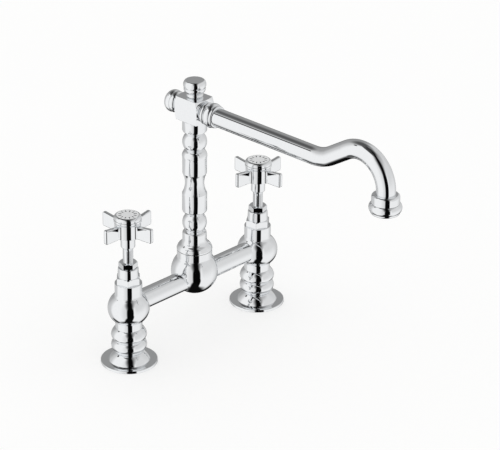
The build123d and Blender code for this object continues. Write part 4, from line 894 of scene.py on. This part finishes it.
def spoutPath():
    # the tube's middle line in the YZ plane: straight, up, straight, over and down
    reach, height, heading = spout["startY"], block["spoutZ"], 0.0
    points = [(reach, height)]

    def goStraight(length, pieces):
        nonlocal reach, height
        for _ in range(pieces):
            reach += length / pieces * math.cos(heading)
            height += length / pieces * math.sin(heading)
            points.append((reach, height))

    def goRound(radius, angle):
        nonlocal reach, height, heading
        pieces = math.ceil(abs(angle) / spout["step"])
        turning = math.radians(angle) / pieces
        chord = 2 * radius * math.sin(abs(turning) / 2)
        for _ in range(pieces):
            reach += chord * math.cos(heading + turning / 2)
            height += chord * math.sin(heading + turning / 2)
            heading += turning
            points.append((reach, height))

    goStraight(spout["straight"] - spout["startY"], 12)
    goRound(spout["riseRadius"], spout["rise"])
    goStraight(spout["riseStraight"], 4)
    goRound(spout["dropRadius"], -90 - spout["rise"])
    goStraight(spout["dropStraight"], 2)
    return points


def tubeTree():
    # a round tube along a curve, closed at both ends
    given = {"Curve": "Geometry", "Tube Radius": "Float", "Sides": "Int", "Surface": "Material"}
    tree, given = startGroup("tubeAlongCurve", given, "Tube")
    inputs = {"Resolution": given["Sides"], "Radius": given["Tube Radius"]}
    circle = addNode(tree, "GeometryNodeCurvePrimitiveCircle", inputs=inputs)
    inputs = {"Curve": given["Curve"], "Profile Curve": circle, "Fill Caps": True}
    tube = addNode(tree, "GeometryNodeCurveToMesh", inputs=inputs)
    real = addNode(tree, "GeometryNodeRealizeInstances", inputs={"Geometry": tube})
    return endGroup(tree, real, given["Surface"], "Tube")


points = spoutPath()
curve = bpy.data.curves.new("spoutPath", "CURVE")
curve.dimensions = "3D"
spline = curve.splines.new("POLY")
spline.points.add(len(points) - 1)
for point, (reach, height) in zip(spline.points, points):
    point.co = (0, -reach * millimetre, height * millimetre, 1)
source = bpy.data.objects.new("spoutPath", curve)
scene.collection.objects.link(source)
values = {"Tube Radius": spout["radius"] * millimetre, "Sides": spout["sides"], "Surface": mirror}
sweep = grouped(source, "sweptTube", tubeTree(), values)
bm = bmesh.new()
bm.from_mesh(sweep.data)
bpy.data.objects.remove(sweep)
chromePiece("bentSpoutTube", bm, "spout", "spout_tube")

outletY = -points[-1][0]
bandTopZ = outlet["topZ"] - outlet["band"] + outlet["top"]
ledgeZ = outlet["footZ"] + outlet["ledge"]
outline = joined(
    named(outlet, "bore,spigotZ spigot,spigotZ spigot,footZ band,footZ"),
    arcThrough(
        (outlet["band"], bandTopZ),
        (outlet["band"] - outlet["shoulder"], outlet["topZ"] - outlet["shoulder"]),
        (outlet["top"], outlet["topZ"]),
    ),
    (spout["radius"] + fits["gap"], outlet["topZ"]),
    (spout["radius"] + fits["gap"], ledgeZ),
    (outlet["bore"], ledgeZ),
)
turnedPiece("outletBand", outline, place(0, outletY, 0), "spout", "outlet_ring", segments=96)

outline = joined(
    (aerator["mouth"], aerator["footZ"]),
    (aerator["lip"], aerator["footZ"], aerator["lipEdge"]),
    (aerator["lip"], aerator["lipZ"]),
    arcThrough(
        (aerator["beadFoot"], aerator["lipZ"]), aerator["bead"], (aerator["beadTop"], aerator["topZ"])
    ),
    named(aerator, "bore,topZ bore,ledgeZ mouth,ledgeZ"),
)
where = place(0, outletY, 0)
turnedPiece("aeratorHousing", outline, where, "spout", "aerator_housing", aerator["edge"], 96)
print("spout made")

# Floor, studio and camera

floor = {"size": 12000.0, "colour": "#FDFDFC", "darker": "#FBFBFA", "below": 0.1, "white": 0.6}
bm = bmesh.new()
half = floor["size"] / 2
for x, y in ((-half, -half), (half, -half), (half, half), (-half, half)):
    bm.verts.new((x * millimetre, y * millimetre, -floor["below"] * millimetre))
bm.faces.new(bm.verts)
mesh = bpy.data.meshes.new("paleFloor")
bm.to_mesh(mesh)
bm.free()
paleFloor = bpy.data.objects.new("paleFloor", mesh)
scene.collection.objects.link(paleFloor)
# matt painted board, sprayed: even, nearly white, no sheen
board = grainedSurface("paintedBoardSprayed", floor["colour"], floor["darker"], 0.9, 0.03, 3.0, 0.01)
boardTree = board.node_tree
seen = addNode(boardTree, "ShaderNodeLightPath").outputs
mirrored = calculated(boardTree, "MAXIMUM", seen["Is Glossy Ray"], seen["Is Transmission Ray"])
shown = calculated(boardTree, "MAXIMUM", seen["Is Camera Ray"], mirrored)
share = calculated(boardTree, "MULTIPLY", shown, floor["white"])
white = addNode(boardTree, "ShaderNodeEmission", inputs={"Color": (1.0, 1.0, 1.0, 1.0), "Strength": 1.0})
matt = boardTree.nodes["Principled BSDF"]
blend = addNode(boardTree, "ShaderNodeMixShader", inputs={0: share, 1: matt, 2: white})
boardTree.links.new(blend.outputs[0], boardTree.nodes["Material Output"].inputs["Surface"])
paleFloor.data.materials.append(board)
# the mirror sees the tent below the horizon instead of the board, as the tent's own white floor
paleFloor.visible_glossy = False

camera = {"azimuth": -46.64, "elevation": 25.68, "roll": 0.68, "distance": 2748.0, "focalPixels": 2465.0,
          "lookAt": (87.7, 0.0, 98.6), "imageWidth": 500, "sensor": 36.0, "clip": (0.1, 100.0)}

# White tent round the tap. Directions are the compass angle from the camera, positive to the right of the
# picture, and the angle above the horizon, in degrees. Heights are sines of that angle. Levels are light, 1
# being white. Every mirror-bright round shows the same things in it: a key panel with the camera's soft
# shade on it, a fill panel, the black gap where the camera stands, pale patches and dark folds at the back,
# a thin dark board, a dark ceiling, and below them the dark strip. Below the horizon it also holds painted
# shade: a dark ring straight down for the tap's shadow and the darkened reflections of its undersides on the
# floor, and dark spots for painted reflections and shade of the tap's own parts there.
tent = {
    "cloth": 0.62,
    "keyPanel": {"level": 0.96, "from": -103.0, "to": 60.0, "soft": 14.0, "softFar": 1.0},
    "shade": {"depth": 0.22, "left": (-48.0, -8.0), "right": (20.0, 0.0)},
    "fillPanel": {"heights": (0.30, -0.50), "levels": (0.74, 0.93), "upper": (0.6, 0.9), "upperShare": 0.62,
                  "from": 38.0, "to": 122.0, "soft": 10.0, "softFar": 28.0},
    "ceiling": {"parting": (10.0, -30.0), "leftEnd": (-125.0, -105.0), "left": (0.08, 0.865, 0.90),
                "right": (0.26, 0.87, 0.96), "top": (0.04, 0.93, 0.985)},
    "patches": (
        {"level": 0.66, "at": (160, 10), "inner": 10, "outer": 40},
        {"level": 0.36, "at": (-160, 14), "inner": 12, "outer": 44},
        {"level": 0.31, "at": (180, 24), "inner": 4, "outer": 22},
        {"level": 0.09, "at": (-156, 62), "inner": 8, "outer": 36},
        {"level": 0.20, "at": (180, -12), "inner": 8, "outer": 26},
    ),
    "boardsAndPaintedShade": (
        # a thin dark line high on the left, between wall and ceiling
        {"level": 0.005, "at": (-102, 42), "inner": 3.2, "outer": 5.4},
        # from here to the end of the list: painted reflections and shade of the tap's own parts on the floor
        # under it
        {"level": 0.05, "at": (-124, -56), "inner": 8, "outer": 15},
        {"level": 0.03, "at": (158, -48), "inner": 10, "outer": 24},
        {"level": 0.03, "at": (180, -44), "inner": 14, "outer": 22},
    ),
    # painted shade: a dark ring straight down that stands for the tap's shadow and the darkened reflections
    # of its undersides on the floor below it
    "shadeUnderTap": {"level": 0.10, "from": -60.0, "to": -76.0},
    "gap": {
        "level": 0.002,
        "left": {"upper": (0.25, 0.8, -7.0, -19.0), "lower": (-0.6, -0.85, 0.0, -8.0),
                 "soft": (0.1, 0.7, 4.0, 18.0)},
        "right": {"upper": (0.35, 0.85, 30.0, 42.0), "lower": (-0.3, -0.6, 0.0, 4.0),
                  "soft": (0.1, 0.8, 3.0, 18.0)},
    },
    "strip": {"level": 0.004, "left": -0.26, "right": 0.30, "soft": 0.07, "near": -1.0, "nearSoft": 0.4,
              "far": 1.7, "farSoft": 0.3, "leastFall": 0.05},
}


def whiteTent():
    world = bpy.data.worlds.new("whiteTent")
    world.use_nodes = True
    tree = world.node_tree
    tree.nodes.clear()
    coords = addNode(tree, "ShaderNodeTexCoord").outputs["Generated"]
    inputs = {"Vector": coords, "Angle": math.radians(-camera["azimuth"])}
    facing = addNode(tree, "ShaderNodeVectorRotate", {"rotation_type": "Z_AXIS"}, inputs).outputs["Vector"]

    def calculate(operation, *values):
        return calculated(tree, operation, *values)

    def times(a, b):
        return calculate("MULTIPLY", a, b)

    def plus(a, b):
        return calculate("ADD", a, b)

    def minus(a, b):
        return calculate("SUBTRACT", a, b)

    def ramped(value, start, end, startLevel=0.0, endLevel=1.0):
        # a smooth step between two levels, given by rising or falling values
        if isinstance(start, (int, float)) and isinstance(end, (int, float)) and start > end:
            start, end, startLevel, endLevel = end, start, endLevel, startLevel
        names = ("Value", "From Min", "From Max", "To Min", "To Max")
        inputs = dict(zip(names, (value, start, end, startLevel, endLevel)))
        settings = {"interpolation_type": "SMOOTHSTEP"}
        return addNode(tree, "ShaderNodeMapRange", settings, inputs).outputs["Result"]

    def between(value, start, end, startSoft, endSoft):
        rising = ramped(value, start - startSoft, start + startSoft)
        return times(rising, ramped(value, end + endSoft, end - endSoft))

    def toward(angles):
        compassAngle, rise = (math.radians(a) for a in angles)
        level = math.cos(rise)
        aim = (math.sin(compassAngle) * level, -math.cos(compassAngle) * level, math.sin(rise))
        dot = addNode(tree, "ShaderNodeVectorMath", {"operation": "DOT_PRODUCT"}, {0: facing, 1: aim})
        return dot.outputs["Value"]

    def laid(under, level, mask):
        inputs = {"Factor": mask, "A": under, "B": level}
        return addNode(tree, "ShaderNodeMix", {"data_type": "FLOAT"}, inputs).outputs["Result"]

    def patched(under, patches):
        for patch in patches:
            edge, core = (math.cos(math.radians(patch[k])) for k in ("outer", "inner"))
            under = laid(under, patch["level"], ramped(toward(patch["at"]), edge, core))
        return under

    parts = addNode(tree, "ShaderNodeSeparateXYZ", inputs={"Vector": facing}).outputs
    away = times(parts["Y"], -1.0)
    compass = times(calculate("ARCTAN2", parts["X"], away), 180 / math.pi)
    height = parts["Z"]

    light = patched(tent["cloth"], tent["patches"])

    key = tent["keyPanel"]
    light = laid(light, key["level"], between(compass, key["from"], key["to"], key["soft"], key["softFar"]))
    shade = tent["shade"]
    shaded = times(ramped(compass, *shade["left"]), ramped(compass, *shade["right"]))
    light = times(light, minus(1.0, times(shaded, shade["depth"])))

    fill = tent["fillPanel"]
    upper = ramped(height, *fill["upper"], 1.0, fill["upperShare"])
    fillLevel = times(ramped(height, *fill["heights"], *fill["levels"]), upper)
    light = laid(light, fillLevel, between(compass, fill["from"], fill["to"], fill["soft"], fill["softFar"]))

    ceiling = tent["ceiling"]
    leftHalf = ramped(compass, *ceiling["parting"])
    overKey = times(leftHalf, ramped(compass, *ceiling["leftEnd"]))
    level, low, high = ceiling["left"]
    light = laid(light, level, times(overKey, ramped(height, low, high)))
    level, low, high = ceiling["right"]
    light = laid(light, level, times(minus(1.0, leftHalf), ramped(height, low, high)))
    level, low, high = ceiling["top"]
    light = laid(light, level, ramped(height, low, high))

    # painted shade of the tap on the floor straight below it, with its darkened reflections
    shadeUnderTap = tent["shadeUnderTap"]
    low, lowest = (math.sin(math.radians(shadeUnderTap[k])) for k in ("from", "to"))
    light = laid(light, shadeUnderTap["level"], ramped(height, low, lowest))

    # the thin dark line, then painted reflections and shade of the tap's own parts below the horizon
    light = patched(light, tent["boardsAndPaintedShade"])

    def pastEdge(edge):
        angle = plus(ramped(height, *edge["upper"]), ramped(height, *edge["lower"]))
        soft = ramped(height, *edge["soft"])
        return ramped(compass, minus(angle, soft), plus(angle, soft))

    gap = tent["gap"]
    inGap = times(pastEdge(gap["left"]), minus(1.0, pastEdge(gap["right"])))
    light = laid(light, gap["level"], inGap)

    # on the floor the gap goes on under the tap as a dark strip of even width
    strip = tent["strip"]
    down = calculate("MAXIMUM", times(height, -1.0), strip["leastFall"])
    sideways = calculate("DIVIDE", parts["X"], down)
    onward = calculate("DIVIDE", parts["Y"], down)
    inStrip = times(
        between(sideways, strip["left"], strip["right"], strip["soft"], strip["soft"]),
        between(onward, strip["near"], strip["far"], strip["nearSoft"], strip["farSoft"]),
    )
    light = laid(light, strip["level"], inStrip)

    path = addNode(tree, "ShaderNodeLightPath").outputs
    mirrored = calculate("MAXIMUM", path["Is Glossy Ray"], path["Is Transmission Ray"])
    plain = addNode(tree, "ShaderNodeBackground", inputs={"Color": (1.0, 1.0, 1.0, 1.0), "Strength": 1.0})
    inMirror = addNode(tree, "ShaderNodeBackground", inputs={"Color": light, "Strength": 1.0})
    mixed = addNode(tree, "ShaderNodeMixShader", inputs={0: mirrored, 1: plain, 2: inMirror})
    addNode(tree, "ShaderNodeOutputWorld", inputs={"Surface": mixed})
    return world


scene.world = whiteTent()

azimuth, elevation, roll = (math.radians(camera[k]) for k in ("azimuth", "elevation", "roll"))
back = Vector(
    (math.sin(azimuth) * math.cos(elevation), -math.cos(azimuth) * math.cos(elevation), math.sin(elevation))
)
level = Vector((math.cos(azimuth), math.sin(azimuth), 0))
upward = back.cross(level)
right = level * math.cos(roll) + upward * math.sin(roll)
up = upward * math.cos(roll) - level * math.sin(roll)
lens = bpy.data.cameras.new("photoCamera")
lens.sensor_width = camera["sensor"]
lens.lens = camera["focalPixels"] / camera["imageWidth"] * lens.sensor_width
lens.clip_start, lens.clip_end = camera["clip"]
photoCamera = bpy.data.objects.new("photoCamera", lens)
photoCamera.matrix_world = Matrix.Translation(
    (Vector(camera["lookAt"]) + back * camera["distance"]) * millimetre
) @ Matrix((right, up, back)).transposed().to_4x4()
scene.collection.objects.link(photoCamera)
scene.camera = photoCamera
scene.view_settings.view_transform = "Standard"
print("studio and camera made")
